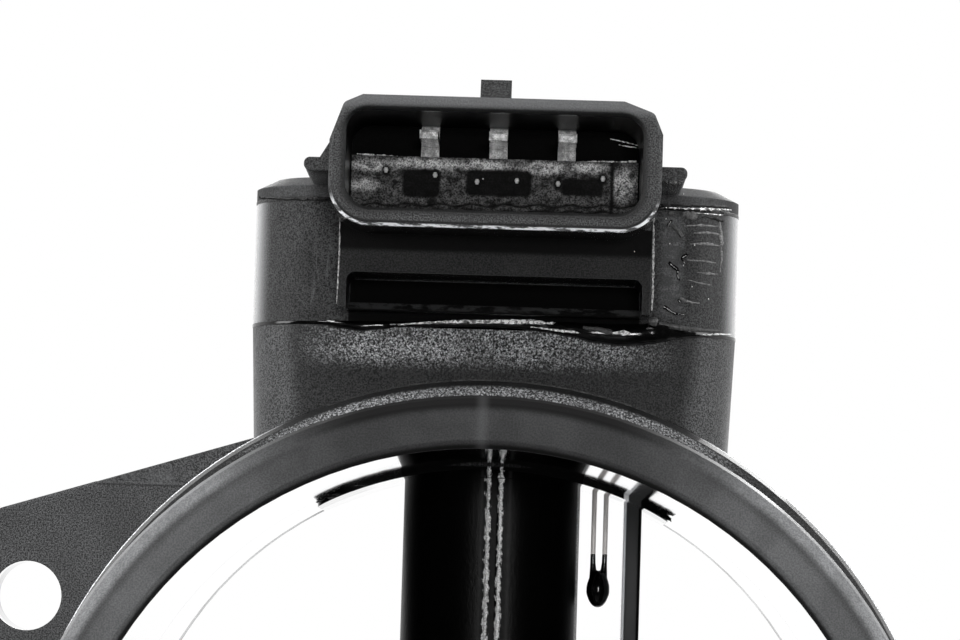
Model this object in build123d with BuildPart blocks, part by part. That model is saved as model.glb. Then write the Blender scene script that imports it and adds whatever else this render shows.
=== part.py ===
from build123d import *
from math import cos, pi, sin
import os

# Mass airflow sensor: an air tube with a flange, and an electronics module glued on its boss.
# Millimetres. +Y runs along the bore from the hose end to the flange, +Z is up to the module.
# The origin is the centre of the bore on the flange's mounting face.

# How far a cut runs past the face it opens, and how near two places count as one
overshoot = 1.0
nearness = 0.01

# A turned round is made as this many flats, each touching the radius
round_flats = 3

# Air tube
bore_radius = 35.0
tube_length = 64.5
spigot_radius = 39.5
spigot_length = 30.0
lip_outer_round = 1.7
lip_inner_chamfer = 0.7
body_radius = 42.5
shoulder_round = 3.0
bore_exit_chamfer = 0.5

# Flange with two ears, and the ring seal in its face
flange_thickness = 6.0
hub_radius = 43.0
bolt_circle_radius = 50.0
bolt_hole_radius = 3.4
ear_radius = 9.0
ear_angle = 154.4
flange_edge_chamfer = 0.2
relief_height = 33.0
relief_width = 60.0
relief_reach = 20.0
relief_depth = 0.8
seal_radius = 38.75
seal_width = 3.0
seal_height = 3.0
seal_crown = 0.9
seal_groove_width = 3.4
seal_groove_depth = 2.5

# Module outline in plan, shared by the boss, the housing and the lid
module_front = -31.0
module_back = -2.0
module_half_width = 22.65
module_corner = 7.5
boss_top = 47.3
boss_draft = 2.4
boss_depth = 26.0
joint_thickness = 0.3
housing_top = 58.85
housing_wall = 2.2
box_floor = 53.0
lid_joint_thickness = 0.25
lid_side_height = 1.1
lid_top = 61.15
lid_slope_width = 1.9
lid_skirt_depth = 1.2
lid_skirt_wall = 1.4
lid_skirt_play = 0.15

# Plug that closes the boss, with the guard post beside the temperature bead
plug_centre_x = 0.4
plug_half_width = 16.3
plug_front = -28.6
plug_back = -8.6
plug_corner = 3.0
plug_radius = 34.5
plug_clearance = 0.2
guard_x = 13.55
guard_width = 1.7
guard_depth = 3.6
guard_y = -20.5
guard_bottom = 15.0
guard_top = 33.5
guard_corner = 0.5

# Connector shell and what stands on it
rim_y = -45.5
shell_x = -0.15
shell_width = 29.6
shell_bottom = 55.25
shell_top = 66.95
shell_low_round = 3.7
shell_left_slope = ((0, -4.1), (1.2, -0.75), (2.85, 0))
shell_right_slope = ((-3.5, 0), (-0.8, -1.0), (0, -2.9))
shell_slope_round = 0.7
cavity_x = -0.28
cavity_width = 26.4
cavity_bottom = 56.85
cavity_top = 65.6
cavity_low_round = 2.4
cavity_high_round = 1.9
rim_edge_chamfer = 0.3
back_wall_y = -33.3
ledge_y = -35.0
ledge_top = 62.6
ledge_sink = 0.3
pocket_pitch = 7.05
pocket_width = 4.4
pocket_height = 2.5
pocket_depth = 0.5
pocket_z = 60.0
rail_reach = 2.3
rail_bottom = 60.2
rail_top = 61.4
rail_front = -43.5
rail_round = 0.55
gusset_reach = 0.9
gusset_height = 1.5
latch_x = -0.33
latch_width = 2.8
latch_front = -41.0
latch_crest = -39.5
latch_back = -36.5
latch_top = 69.3
latch_rise = 0.3

# Cored block under the shell
block_front = -37.5
block_half_width = 14.15
block_bottom = 51.75
block_top = 56.25
block_rib = 0.75
block_rib_bottom = 48.6
block_core_round = 0.8
block_step_front = -33.0
block_step_top = 49.3
core_back = -29.0

# Terminals: a foot on the circuit, a leg up the cavity's back wall and a blade
terminal_pitch = 6.25
terminal_width = 1.65
terminal_thickness = 0.8
terminal_foot_back = -24.6
blade_bottom = 63.6
blade_tip = -41.5
blade_tip_chamfer = 0.25

# Circuit in the box
plate_width = 36.0
plate_depth = 22.0
plate_thickness = 1.2
plate_corner = 2.0
pin_window = (12.0, 2.4)
lead_window = (3.0, 1.6)
substrate_width = 34.0
substrate_depth = 20.0
substrate_thickness = 0.8
gel_top = 57.4
pin_stand = 0.6

# Components on the substrate: x, y, width, depth, height
component_sizes = {
    "control_chip": (-9.5, -10.8, 7.0, 6.0, 1.2),
    "supply_capacitor": (2.5, -10.0, 3.2, 2.5, 1.5),
    "output_capacitor": (8.0, -10.0, 3.2, 2.5, 1.5),
    "trim_resistor": (13.5, -10.0, 3.2, 1.6, 0.6),
    "bridge_resistor": (-12.0, -21.5, 6.3, 3.2, 0.6),
}

# Bypass column and its measuring channel
column_x = 0.3
column_half_width = 8.28
column_nose = -28.0
column_nose_round = 7.0
column_back = -12.5
column_back_round = 2.0
column_bottom = -5.5
column_bottom_chamfer = 1.4
ridge_x = 0.44
ridge_width = 1.2
ridge_height = 0.35
ridge_round = 0.3
channel_z = 2.0
channel_width = 13.0
channel_height = 8.4
joint_y = -17.0
pin_radius = 0.35
pin_spacing = 3.0
pin_bottom = 1.3
element_radius = 0.45
element_z = 2.2

# Temperature bead on its two leads, with a cone of coating up each lead
bead_x = 10.5
bead_y = -20.5
bead_z = 23.2
bead_radius = 1.13
bead_neck_radius = 0.9
bead_neck_top = 25.3
bead_leg_radius = 0.34
bead_leg_tip_radius = 0.27
bead_leg_top = 27.1
lead_radius = 0.23
lead_spacing = 1.1
lead_bottom = 23.8

# Squeezed-out adhesive at the front of the joint: centre, length, reach, drop and rise of each
squeeze_sizes = {"left": (-12.2, 7.4, 0.45, 0.6, 0.5), "right": (10.4, 12.4, 0.9, 1.25, 0.8)}
squeeze_taper = 20.0

column_depth = column_back - column_nose
column_top = plug_radius + 2 * overshoot
module_y = (module_front + module_back) / 2
module_depth = module_back - module_front
housing_base = boss_top + joint_thickness
plug_y = (plug_front + plug_back) / 2
plug_depth = plug_back - plug_front
substrate_base = box_floor + plate_thickness
substrate_top = substrate_base + substrate_thickness
pin_top = substrate_top + pin_stand

os.makedirs("parts", exist_ok=True)


def across(y):
    # A plane square to the bore at the given y; its local axes are X and Z
    return Plane.XZ.offset(-y)


def rounded_plan(height, inset=0.0):
    # The module's rounded outline in plan, at a height, drawn in by the inset
    with BuildSketch(Plane.XY.offset(height)) as plan:
        with Locations((0, module_y)):
            RectangleRounded(
                2 * (module_half_width - inset),
                module_depth - 2 * inset,
                module_corner - inset,
            )
    return plan.sketch


def corner_in_flats(x, y, radius):
    # A round corner at the right and below, as the points between its flats, from the top down
    step = pi / 2 / (round_flats + 1)
    reach = radius / cos(step / 2)
    turns = [(flat + 0.5) * step for flat in range(round_flats + 1)]
    return [(x - radius + reach * cos(turn), y + radius - reach * sin(turn)) for turn in turns]


def moved(points, x, z):
    return [(x + across_x, z + up_z) for across_x, up_z in points]


def shell_outline():
    # Front view of the connector shell: rounded below, sloped at both upper corners
    left = shell_x - shell_width / 2
    right = shell_x + shell_width / 2
    with BuildSketch(across(module_front)) as outline:
        with BuildLine():
            Polyline(
                (left, shell_bottom),
                *moved(shell_left_slope, left, shell_top),
                *moved(shell_right_slope, right, shell_top),
                (right, shell_bottom),
                close=True,
            )
        make_face()
        fillet(outline.vertices().group_by(Axis.Y)[0], shell_low_round)
        # The corner inside each slope is the highest but one on its side
        slope_corners = [level[0] for level in outline.vertices().group_by(Axis.Y)[-3:-1]]
        fillet(slope_corners, shell_slope_round)
    return outline.sketch


def cavity_outline():
    # Front view of the connector cavity, with one radius below and another above
    with BuildSketch(across(rim_y)) as outline:
        with Locations((cavity_x, (cavity_bottom + cavity_top) / 2)):
            Rectangle(cavity_width, cavity_top - cavity_bottom)
        fillet(outline.vertices().group_by(Axis.Y)[0], cavity_low_round)
        fillet(outline.vertices().group_by(Axis.Y)[-1], cavity_high_round)
    return outline.sketch


# Flange: a hub and two ears in one tangent outline, bevelled round its front edge
with BuildPart() as flange_form:
    with BuildSketch(across(0)):
        Circle(hub_radius)
        with PolarLocations(bolt_circle_radius, 2, start_angle=ear_angle):
            Circle(ear_radius)
        make_hull()
    extrude(amount=flange_thickness)
    chamfer(flange_form.faces().sort_by(Axis.Y)[0].edges(), flange_edge_chamfer)

# Air tube: the body is turned, the flange and the boss are added, then the bore is cut
with BuildPart() as air_tube:
    with BuildSketch(Plane.XY):
        with BuildLine():
            Polyline(
                (0, 0),
                (body_radius, 0),
                *corner_in_flats(body_radius, spigot_length - tube_length, shoulder_round),
                (spigot_radius, spigot_length - tube_length),
                *corner_in_flats(spigot_radius, -tube_length, lip_outer_round),
                (0, -tube_length),
                close=True,
            )
        make_face()
    revolve(axis=Axis.Y)

    add(flange_form.part)

    # The flange's front face steps back beyond a level edge on each ear
    for side in (1, -1):
        with BuildSketch(across(-flange_thickness - overshoot)):
            relief_centre = (-side * relief_width / 2, side * (relief_height + relief_reach / 2))
            with Locations(relief_centre):
                Rectangle(relief_width, relief_reach)
            Circle(body_radius, mode=Mode.SUBTRACT)
        extrude(amount=-overshoot - relief_depth, mode=Mode.SUBTRACT)

    with BuildSketch(Plane.XY.offset(boss_top)):
        add(rounded_plan(boss_top))
    extrude(amount=-boss_depth, taper=boss_draft)

    with BuildSketch(across(overshoot)):
        Circle(bore_radius)
    extrude(amount=tube_length + 2 * overshoot, mode=Mode.SUBTRACT)
    lip_edge = air_tube.edges().filter_by(GeomType.CIRCLE).sort_by(Axis.Y)[0]
    chamfer(lip_edge, lip_inner_chamfer)
    exit_edge = (
        air_tube.edges()
        .filter_by(GeomType.CIRCLE)
        .filter_by(lambda edge: abs(edge.radius - bore_radius) < nearness)
        .filter_by_position(Axis.Y, -nearness, nearness)
    )
    chamfer(exit_edge, bore_exit_chamfer)

    with BuildSketch(across(0)):
        with PolarLocations(bolt_circle_radius, 2, start_angle=ear_angle):
            Circle(bolt_hole_radius)
    extrude(amount=flange_thickness, mode=Mode.SUBTRACT)

    with BuildSketch(across(0)):
        Circle(seal_radius + seal_groove_width / 2)
        Circle(seal_radius - seal_groove_width / 2, mode=Mode.SUBTRACT)
    extrude(amount=seal_groove_depth, mode=Mode.SUBTRACT)

    with BuildSketch(Plane.XY.offset(boss_top)):
        with Locations((plug_centre_x, plug_y)):
            RectangleRounded(
                2 * (plug_half_width + plug_clearance),
                plug_depth + 2 * plug_clearance,
                plug_corner + plug_clearance,
            )
    extrude(amount=-boss_depth, mode=Mode.SUBTRACT)
air_tube.part.label = "air_tube"

# Ring seal with a crowned face, seated on the bottom of its groove
with BuildPart() as flange_seal:
    with BuildSketch(Plane.XY) as seal_section:
        with Locations((seal_radius, seal_height / 2 - seal_groove_depth)):
            Rectangle(seal_width, seal_height)
        chamfer(seal_section.vertices().group_by(Axis.Y)[-1], seal_crown)
    revolve(axis=Axis.Y)
flange_seal.part.label = "flange_seal"


# Terminals: stamped strips, alike apart from their place
def terminal_at(x):
    wall_face = back_wall_y - terminal_thickness
    blade_top = blade_bottom + terminal_thickness
    with BuildPart() as terminal:
        with BuildSketch(Plane.YZ.offset(x)):
            with BuildLine():
                Polyline(
                    (terminal_foot_back, substrate_top),
                    (wall_face, substrate_top),
                    (wall_face, blade_bottom),
                    (blade_tip, blade_bottom),
                    (blade_tip, blade_top),
                    (wall_face, blade_top),
                    (wall_face, cavity_top),
                    (back_wall_y, cavity_top),
                    (back_wall_y, substrate_top + terminal_thickness),
                    (terminal_foot_back, substrate_top + terminal_thickness),
                    close=True,
                )
            make_face()
        extrude(amount=terminal_width / 2, both=True)
        tip_edges = terminal.faces().sort_by(Axis.Y)[0].edges()
        chamfer(tip_edges, blade_tip_chamfer)
    return terminal


terminals = {
    "terminal_left": terminal_at(-terminal_pitch),
    "terminal_centre": terminal_at(0),
    "terminal_right": terminal_at(terminal_pitch),
}


# Pins and leads: straight round wires from the bore up through the circuit
def wire_at(x, y, radius, bottom):
    with BuildPart() as wire:
        with BuildSketch(Plane.XY.offset(bottom)):
            with Locations((x, y)):
                Circle(radius)
        extrude(amount=pin_top - bottom)
    return wire


pin_places = [column_x + pin_spacing * step for step in (-1.5, -0.5, 0.5, 1.5)]
pins = {
    f"element_pin_{number}": wire_at(x, joint_y, pin_radius, pin_bottom)
    for number, x in enumerate(pin_places, 1)
}
leads = {
    "temperature_lead_inner": wire_at(bead_x - lead_spacing / 2, bead_y, lead_radius, lead_bottom),
    "temperature_lead_outer": wire_at(bead_x + lead_spacing / 2, bead_y, lead_radius, lead_bottom),
}
wires = {**pins, **leads}

# Temperature bead: a drop that closes over the ends of the leads
with BuildPart() as temperature_bead:
    bead_plane = Plane(origin=(bead_x, bead_y, 0), x_dir=(1, 0, 0), z_dir=(0, -1, 0))
    with BuildSketch(bead_plane):
        with BuildLine():
            Polyline(
                (0, bead_neck_top),
                (bead_neck_radius, bead_neck_top),
                *corner_in_flats(bead_radius, bead_z - bead_radius, bead_radius),
                (0, bead_z - bead_radius),
                close=True,
            )
        make_face()
    revolve(axis=Axis((bead_x, bead_y, 0), (0, 0, 1)))
    leg_height = bead_leg_top - bead_neck_top
    with Locations((bead_x, bead_y, bead_neck_top + leg_height / 2)):
        with GridLocations(lead_spacing, 0, 2, 1):
            Cone(bead_leg_radius, bead_leg_tip_radius, leg_height)
    for lead in leads.values():
        add(lead.part, mode=Mode.SUBTRACT)
temperature_bead.part.label = "temperature_bead"

# Bypass column: a nosed body hung from the plug, with an oval channel along the flow
with BuildPart() as column_form:
    with BuildSketch(Plane.XY.offset(column_bottom)) as column_plan:
        with Locations((0, (column_nose + column_back) / 2)):
            Rectangle(2 * column_half_width, column_depth)
        fillet(column_plan.vertices().group_by(Axis.Y)[0], column_nose_round)
        fillet(column_plan.vertices().group_by(Axis.Y)[-1], column_back_round)
    extrude(amount=column_top - column_bottom)
    chamfer(column_form.faces().sort_by(Axis.Z)[0].edges(), column_bottom_chamfer)
    ridge_bottom = column_bottom + column_bottom_chamfer
    with BuildSketch(Plane.XY.offset(ridge_bottom)):
        with Locations((ridge_x - column_x, column_nose)):
            RectangleRounded(ridge_width, 2 * ridge_height, ridge_round)
    extrude(amount=column_top - ridge_bottom)
    with BuildSketch(across(column_back + overshoot)):
        with Locations((0, channel_z)):
            SlotOverall(channel_width, channel_height)
    extrude(amount=column_depth + 2 * overshoot, mode=Mode.SUBTRACT)


def column_half(keep):
    with BuildPart() as half:
        with Locations((column_x, 0, 0)):
            add(column_form.part)
        with BuildSketch(across(0)):
            Circle(plug_radius)
        extrude(amount=tube_length, mode=Mode.INTERSECT)
        split(bisect_by=across(joint_y), keep=keep)
        for pin in pins.values():
            add(pin.part, mode=Mode.SUBTRACT)
    return half


bypass_front = column_half(Keep.TOP)
bypass_front.part.label = "bypass_front"
bypass_back = column_half(Keep.BOTTOM)
bypass_back.part.label = "bypass_back"


# Measuring elements: ceramic rods with saddle ends, each between two pins
def element_between(first, second):
    with BuildPart() as element:
        with BuildSketch(Plane.YZ.offset(pin_places[first])):
            with Locations((joint_y, element_z)):
                Circle(element_radius)
        extrude(amount=pin_spacing)
        for pin in pins.values():
            add(pin.part, mode=Mode.SUBTRACT)
    return element


hot_element = element_between(0, 1)
hot_element.part.label = "hot_element"
cold_element = element_between(2, 3)
cold_element.part.label = "cold_element"

# Module housing: box, connector shell, cored block, plug and guard post in one moulding
with BuildPart() as module_housing:
    with BuildSketch(Plane.XY.offset(housing_base)):
        add(rounded_plan(housing_base))
    extrude(amount=housing_top - housing_base)

    # Plug, arched to the bore, and the guard post
    with BuildSketch(Plane.XY.offset(housing_base)):
        with Locations((plug_centre_x, plug_y)):
            RectangleRounded(2 * plug_half_width, plug_depth, plug_corner)
    extrude(amount=-boss_depth)
    with BuildSketch(across(plug_back + overshoot)):
        Circle(plug_radius)
    extrude(amount=plug_depth + 2 * overshoot, mode=Mode.SUBTRACT)
    with BuildSketch(Plane.XY.offset(guard_bottom)):
        with Locations((guard_x, guard_y)):
            RectangleRounded(guard_width, guard_depth, guard_corner)
    extrude(amount=guard_top - guard_bottom)

    # Connector shell with its side rails, gusset and latch nib
    shell = extrude(shell_outline(), amount=module_front - rim_y, mode=Mode.PRIVATE)
    add(shell)
    with BuildSketch(across(module_front)):
        with Locations((shell_x, (rail_bottom + rail_top) / 2)):
            RectangleRounded(shell_width + 2 * rail_reach, rail_top - rail_bottom, rail_round)
    extrude(amount=module_front - rail_front)
    with BuildSketch(across(module_front)):
        with BuildLine():
            shell_side = shell_x - shell_width / 2
            Polyline(
                (shell_side, rail_top),
                (shell_side - gusset_reach, rail_top),
                (shell_side, rail_top + gusset_height),
                close=True,
            )
        make_face()
    extrude(amount=module_front - rail_front)
    with BuildSketch(Plane.YZ.offset(latch_x)):
        with BuildLine():
            Polyline(
                (latch_front, shell_top - latch_rise),
                (latch_front, shell_top + latch_rise),
                (latch_crest, latch_top),
                (latch_back, latch_top),
                (latch_back, shell_top - latch_rise),
                close=True,
            )
        make_face()
    extrude(amount=latch_width / 2, both=True)

    # Cored block: a beam, two ribs and a low step round an open core
    with BuildSketch(across(module_front)):
        with Locations((0, (block_rib_bottom + block_top) / 2)):
            Rectangle(2 * block_half_width, block_top - block_rib_bottom)
    extrude(amount=module_front - block_front)
    with BuildSketch(across(core_back)) as core:
        with Locations((0, (block_rib_bottom + block_bottom) / 2)):
            Rectangle(2 * (block_half_width - block_rib), block_bottom - block_rib_bottom)
        fillet(core.vertices().group_by(Axis.Y)[-1], block_core_round)
    extrude(amount=core_back - block_front, mode=Mode.SUBTRACT)
    with BuildSketch(across(core_back)):
        with Locations((0, (block_rib_bottom + block_step_top) / 2)):
            Rectangle(2 * (block_half_width - block_rib), block_step_top - block_rib_bottom)
    extrude(amount=core_back - block_step_front)

    # Connector cavity down to the back wall, with the ledge left standing
    cavity = extrude(cavity_outline(), amount=rim_y - back_wall_y, mode=Mode.PRIVATE)
    add(cavity, mode=Mode.SUBTRACT)
    with BuildSketch(across(back_wall_y)):
        with Locations((cavity_x, (cavity_bottom - ledge_sink + ledge_top) / 2)):
            Rectangle(cavity_width + 2 * ledge_sink, ledge_top - cavity_bottom + ledge_sink)
    extrude(amount=back_wall_y - ledge_y)
    with BuildSketch(across(ledge_y)):
        with Locations((cavity_x, pocket_z)):
            with GridLocations(pocket_pitch, 0, 3, 1):
                Rectangle(pocket_width, pocket_height)
    extrude(amount=-pocket_depth, mode=Mode.SUBTRACT)

    # Box for the circuit, open at the top
    with BuildSketch(Plane.XY.offset(box_floor)):
        add(rounded_plan(box_floor, housing_wall))
    extrude(amount=housing_top - box_floor, mode=Mode.SUBTRACT)

    rim_edges = module_housing.edges().filter_by_position(Axis.Y, rim_y - nearness, rim_y + nearness)
    chamfer(rim_edges, rim_edge_chamfer)

    for insert in list(terminals.values()) + list(wires.values()):
        add(insert.part, mode=Mode.SUBTRACT)
module_housing.part.label = "module_housing"

# Lid: a straight side, a sloped margin and a locating skirt inside the box
with BuildPart() as module_lid:
    lid_base = housing_top + lid_joint_thickness
    with BuildSketch(Plane.XY.offset(lid_base)):
        add(rounded_plan(lid_base))
    extrude(amount=lid_top - lid_base)
    lid_face = module_lid.faces().sort_by(Axis.Z)[-1]
    chamfer(
        lid_face.edges(),
        length=lid_slope_width,
        length2=lid_top - lid_base - lid_side_height,
        reference=lid_face,
    )
    with BuildSketch(Plane.XY.offset(lid_base)):
        skirt_inset = housing_wall + lid_skirt_play
        add(rounded_plan(lid_base, skirt_inset))
        add(rounded_plan(lid_base, skirt_inset + lid_skirt_wall), mode=Mode.SUBTRACT)
    extrude(amount=-lid_skirt_depth)
module_lid.part.label = "module_lid"

# Adhesive under the lid, on the rim of the box
with BuildPart() as lid_sealant:
    with BuildSketch(Plane.XY.offset(housing_top)):
        add(rounded_plan(housing_top))
        add(rounded_plan(housing_top, housing_wall), mode=Mode.SUBTRACT)
    extrude(amount=lid_joint_thickness)
lid_sealant.part.label = "lid_sealant"

# Adhesive between boss and housing, with the two beads squeezed out at the front
with BuildPart() as joint_sealant:
    with BuildSketch(Plane.XY.offset(boss_top)):
        add(rounded_plan(boss_top))
        with Locations((plug_centre_x, plug_y)):
            RectangleRounded(2 * plug_half_width, plug_depth, plug_corner, mode=Mode.SUBTRACT)
    extrude(amount=joint_thickness)
    for centre, length, reach, drop, rise in squeeze_sizes.values():
        left_tip = (centre - length / 2, boss_top)
        right_tip = (centre + length / 2, boss_top)
        with BuildSketch(across(module_front)):
            with BuildLine():
                ThreePointArc(left_tip, (centre, boss_top - drop), right_tip)
                ThreePointArc(right_tip, (centre, boss_top + rise), left_tip)
            make_face()
        extrude(amount=reach, taper=squeeze_taper)
    add(air_tube.part, mode=Mode.SUBTRACT)
    add(module_housing.part, mode=Mode.SUBTRACT)
joint_sealant.part.label = "joint_sealant"

# Heat sink plate on the box floor, with windows for the pins and the leads
with BuildPart() as heat_sink_plate:
    with BuildSketch(Plane.XY.offset(box_floor)):
        with Locations((0, module_y)):
            RectangleRounded(plate_width, plate_depth, plate_corner)
        with Locations((column_x, joint_y)):
            SlotOverall(*pin_window, mode=Mode.SUBTRACT)
        with Locations((bead_x, bead_y)):
            SlotOverall(*lead_window, mode=Mode.SUBTRACT)
    extrude(amount=plate_thickness)
heat_sink_plate.part.label = "heat_sink_plate"

# Ceramic circuit substrate, drilled for the pins and the leads
with BuildPart() as circuit_substrate:
    with BuildSketch(Plane.XY.offset(substrate_base)):
        with Locations((0, module_y)):
            Rectangle(substrate_width, substrate_depth)
    extrude(amount=substrate_thickness)
    for wire in wires.values():
        add(wire.part, mode=Mode.SUBTRACT)
circuit_substrate.part.label = "circuit_substrate"


# Components on the substrate: plain blocks
def component_at(x, y, width, depth, height):
    with BuildPart() as component:
        with BuildSketch(Plane.XY.offset(substrate_top)):
            with Locations((x, y)):
                Rectangle(width, depth)
        extrude(amount=height)
    return component


components = {name: component_at(*size) for name, size in component_sizes.items()}

# Soft filling that covers the circuit
with BuildPart() as potting_gel:
    with BuildSketch(Plane.XY.offset(box_floor)):
        add(rounded_plan(box_floor, housing_wall))
    extrude(amount=gel_top - box_floor)
    with BuildSketch(Plane.XY.offset(box_floor)):
        with Locations((0, module_y)):
            RectangleRounded(plate_width, plate_depth, plate_corner)
    extrude(amount=plate_thickness, mode=Mode.SUBTRACT)
    covered = [circuit_substrate]
    covered += list(terminals.values()) + list(wires.values()) + list(components.values())
    for piece in covered:
        add(piece.part, mode=Mode.SUBTRACT)
potting_gel.part.label = "potting_gel"

for group in (terminals, wires, components):
    for name, piece in group.items():
        piece.part.label = name

pieces = [
    air_tube, flange_seal, module_housing, module_lid, lid_sealant, joint_sealant,
    bypass_front, bypass_back, hot_element, cold_element, temperature_bead,
    heat_sink_plate, circuit_substrate, potting_gel,
]
pieces += list(terminals.values()) + list(wires.values()) + list(components.values())
for piece in pieces:
    export_step(piece.part, f"parts/{piece.part.label}.step")
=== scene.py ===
import bmesh
import bpy
import math
from mathutils import Matrix, Vector, noise


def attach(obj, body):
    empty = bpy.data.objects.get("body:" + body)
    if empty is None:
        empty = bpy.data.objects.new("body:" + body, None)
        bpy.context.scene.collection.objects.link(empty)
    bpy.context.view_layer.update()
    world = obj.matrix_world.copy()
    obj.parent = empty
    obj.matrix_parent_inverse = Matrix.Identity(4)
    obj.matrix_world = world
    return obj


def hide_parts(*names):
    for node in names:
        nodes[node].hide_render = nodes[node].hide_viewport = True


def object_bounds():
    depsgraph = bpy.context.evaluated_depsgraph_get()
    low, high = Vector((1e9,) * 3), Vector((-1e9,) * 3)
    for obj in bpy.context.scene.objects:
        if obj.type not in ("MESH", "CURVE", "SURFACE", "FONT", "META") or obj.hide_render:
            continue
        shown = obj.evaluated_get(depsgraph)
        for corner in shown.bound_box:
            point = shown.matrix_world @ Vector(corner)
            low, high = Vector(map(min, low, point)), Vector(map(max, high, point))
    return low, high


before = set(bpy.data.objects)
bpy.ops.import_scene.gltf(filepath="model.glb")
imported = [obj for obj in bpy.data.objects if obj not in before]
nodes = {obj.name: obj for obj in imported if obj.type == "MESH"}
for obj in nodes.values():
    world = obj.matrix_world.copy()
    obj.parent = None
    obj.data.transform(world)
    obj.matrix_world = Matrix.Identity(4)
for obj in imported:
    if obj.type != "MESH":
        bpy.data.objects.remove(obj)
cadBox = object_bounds()
scene = bpy.context.scene
mm = 0.001

# Camera, in the part's frame
camera = {
    "place": (2.64, -394.5, 21.82),  # millimetres
    "lens": 148.5,
    "sensor": 36.0,
    "roll": 1.7,  # degrees
    "pitch": 4.16,
    "yaw": 0.49,
}


def makeCamera():
    data = bpy.data.cameras.new("camera")
    data.lens = camera["lens"]
    data.sensor_width = camera["sensor"]
    data.clip_start = 0.01
    data.clip_end = 50.0
    eye = bpy.data.objects.new("camera", data)
    scene.collection.objects.link(eye)
    roll, pitch, yaw = (math.radians(camera[name]) for name in ("roll", "pitch", "yaw"))
    ahead = Vector((0, 1, 0))
    right = Vector((math.cos(roll), 0, math.sin(roll)))
    up = Vector((-math.sin(roll), 0, math.cos(roll)))
    lifted = ahead * math.cos(pitch) + up * math.sin(pitch)
    up = up * math.cos(pitch) - ahead * math.sin(pitch)
    turned = lifted * math.cos(yaw) - right * math.sin(yaw)
    right = right * math.cos(yaw) + lifted * math.sin(yaw)
    turn = Matrix((right, up, -turned)).transposed().to_4x4()
    eye.matrix_world = Matrix.Translation(Vector(camera["place"]) * mm) @ turn
    scene.camera = eye


makeCamera()
print("camera placed")


# small helpers for node trees; each works in the tree that its sockets are in
def feed(socket, value):
    if isinstance(value, bpy.types.NodeSocket):
        socket.id_data.links.new(value, socket)
    elif value is not None:
        if socket.type == "RGBA" and len(value) == 3:
            value = (*value, 1.0)
        socket.default_value = value


def addNode(tree, kind, inputs=None, **settings):
    node = tree.nodes.new(kind)
    for name, value in settings.items():
        setattr(node, name, value)
    for name, value in (inputs or {}).items():
        feed(node.inputs[name], value)
    return node


def treeOf(*values):
    return next(value.id_data for value in values if isinstance(value, bpy.types.NodeSocket))


def calc(operation, *values):
    node = addNode(treeOf(*values), "ShaderNodeMath", operation=operation)
    for socket, value in zip(node.inputs, values):
        feed(socket, value)
    return node.outputs[0]


def ramp(value, low, high):  # 0 at low, 1 at high, smooth between
    node = addNode(treeOf(value, low, high), "ShaderNodeMapRange", interpolation_type="SMOOTHSTEP")
    for name, part in (("Value", value), ("From Min", low), ("From Max", high)):
        feed(node.inputs[name], part)
    return node.outputs["Result"]


def band(value, low, high, soft):  # 1 between low and high, with soft edges
    rising = ramp(value, low - soft, low + soft)
    falling = ramp(value, high + soft, high - soft)
    return times(rising, falling)


def chain(operation, first, *others):
    for value in others:
        first = calc(operation, first, value)
    return first


def times(*values):
    return chain("MULTIPLY", *values)


def plus(*values):
    return chain("ADD", *values)


def minus(*values):
    return chain("SUBTRACT", *values)


def both(*masks):
    return chain("MULTIPLY", *masks)


def either(*masks):
    return chain("MAXIMUM", *masks)


def no(mask):
    return minus(1.0, mask)


def mixColor(mask, first, second):
    node = addNode(treeOf(mask), "ShaderNodeMix", data_type="RGBA")
    colors = [socket for socket in node.inputs if socket.type == "RGBA"]
    feed(node.inputs[0], mask)
    feed(colors[0], first)
    feed(colors[1], second)
    return [socket for socket in node.outputs if socket.type == "RGBA"][0]


def mixValue(mask, first, second):
    node = addNode(treeOf(mask), "ShaderNodeMix", data_type="FLOAT")
    for socket, value in zip(node.inputs[0:1] + node.inputs[2:4], (mask, first, second)):
        feed(socket, value)
    return node.outputs[0]


def grey(level):  # linear colour from a screen grey of 0 to 255
    part = level / 255
    linear = part / 12.92 if part <= 0.04045 else ((part + 0.055) / 1.055) ** 2.4
    return (linear, linear, linear)


def newGroup(name, inputs, outputs):
    tree = bpy.data.node_groups.new(name, "ShaderNodeTree")
    for label, kind, value in inputs:
        socket = tree.interface.new_socket(label, in_out="INPUT", socket_type="NodeSocket" + kind)
        if value is not None:
            socket.default_value = value
    for label, kind in outputs:
        tree.interface.new_socket(label, in_out="OUTPUT", socket_type="NodeSocket" + kind)
    return tree, tree.nodes.new("NodeGroupInput").outputs, tree.nodes.new("NodeGroupOutput").inputs


def useGroup(place, name, **values):
    node = addNode(place.id_data, "ShaderNodeGroup", node_tree=bpy.data.node_groups[name])
    if "Vector" in node.inputs:
        values["Vector"] = place
    for label, value in values.items():
        feed(node.inputs[label], value)
    return node.outputs


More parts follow.
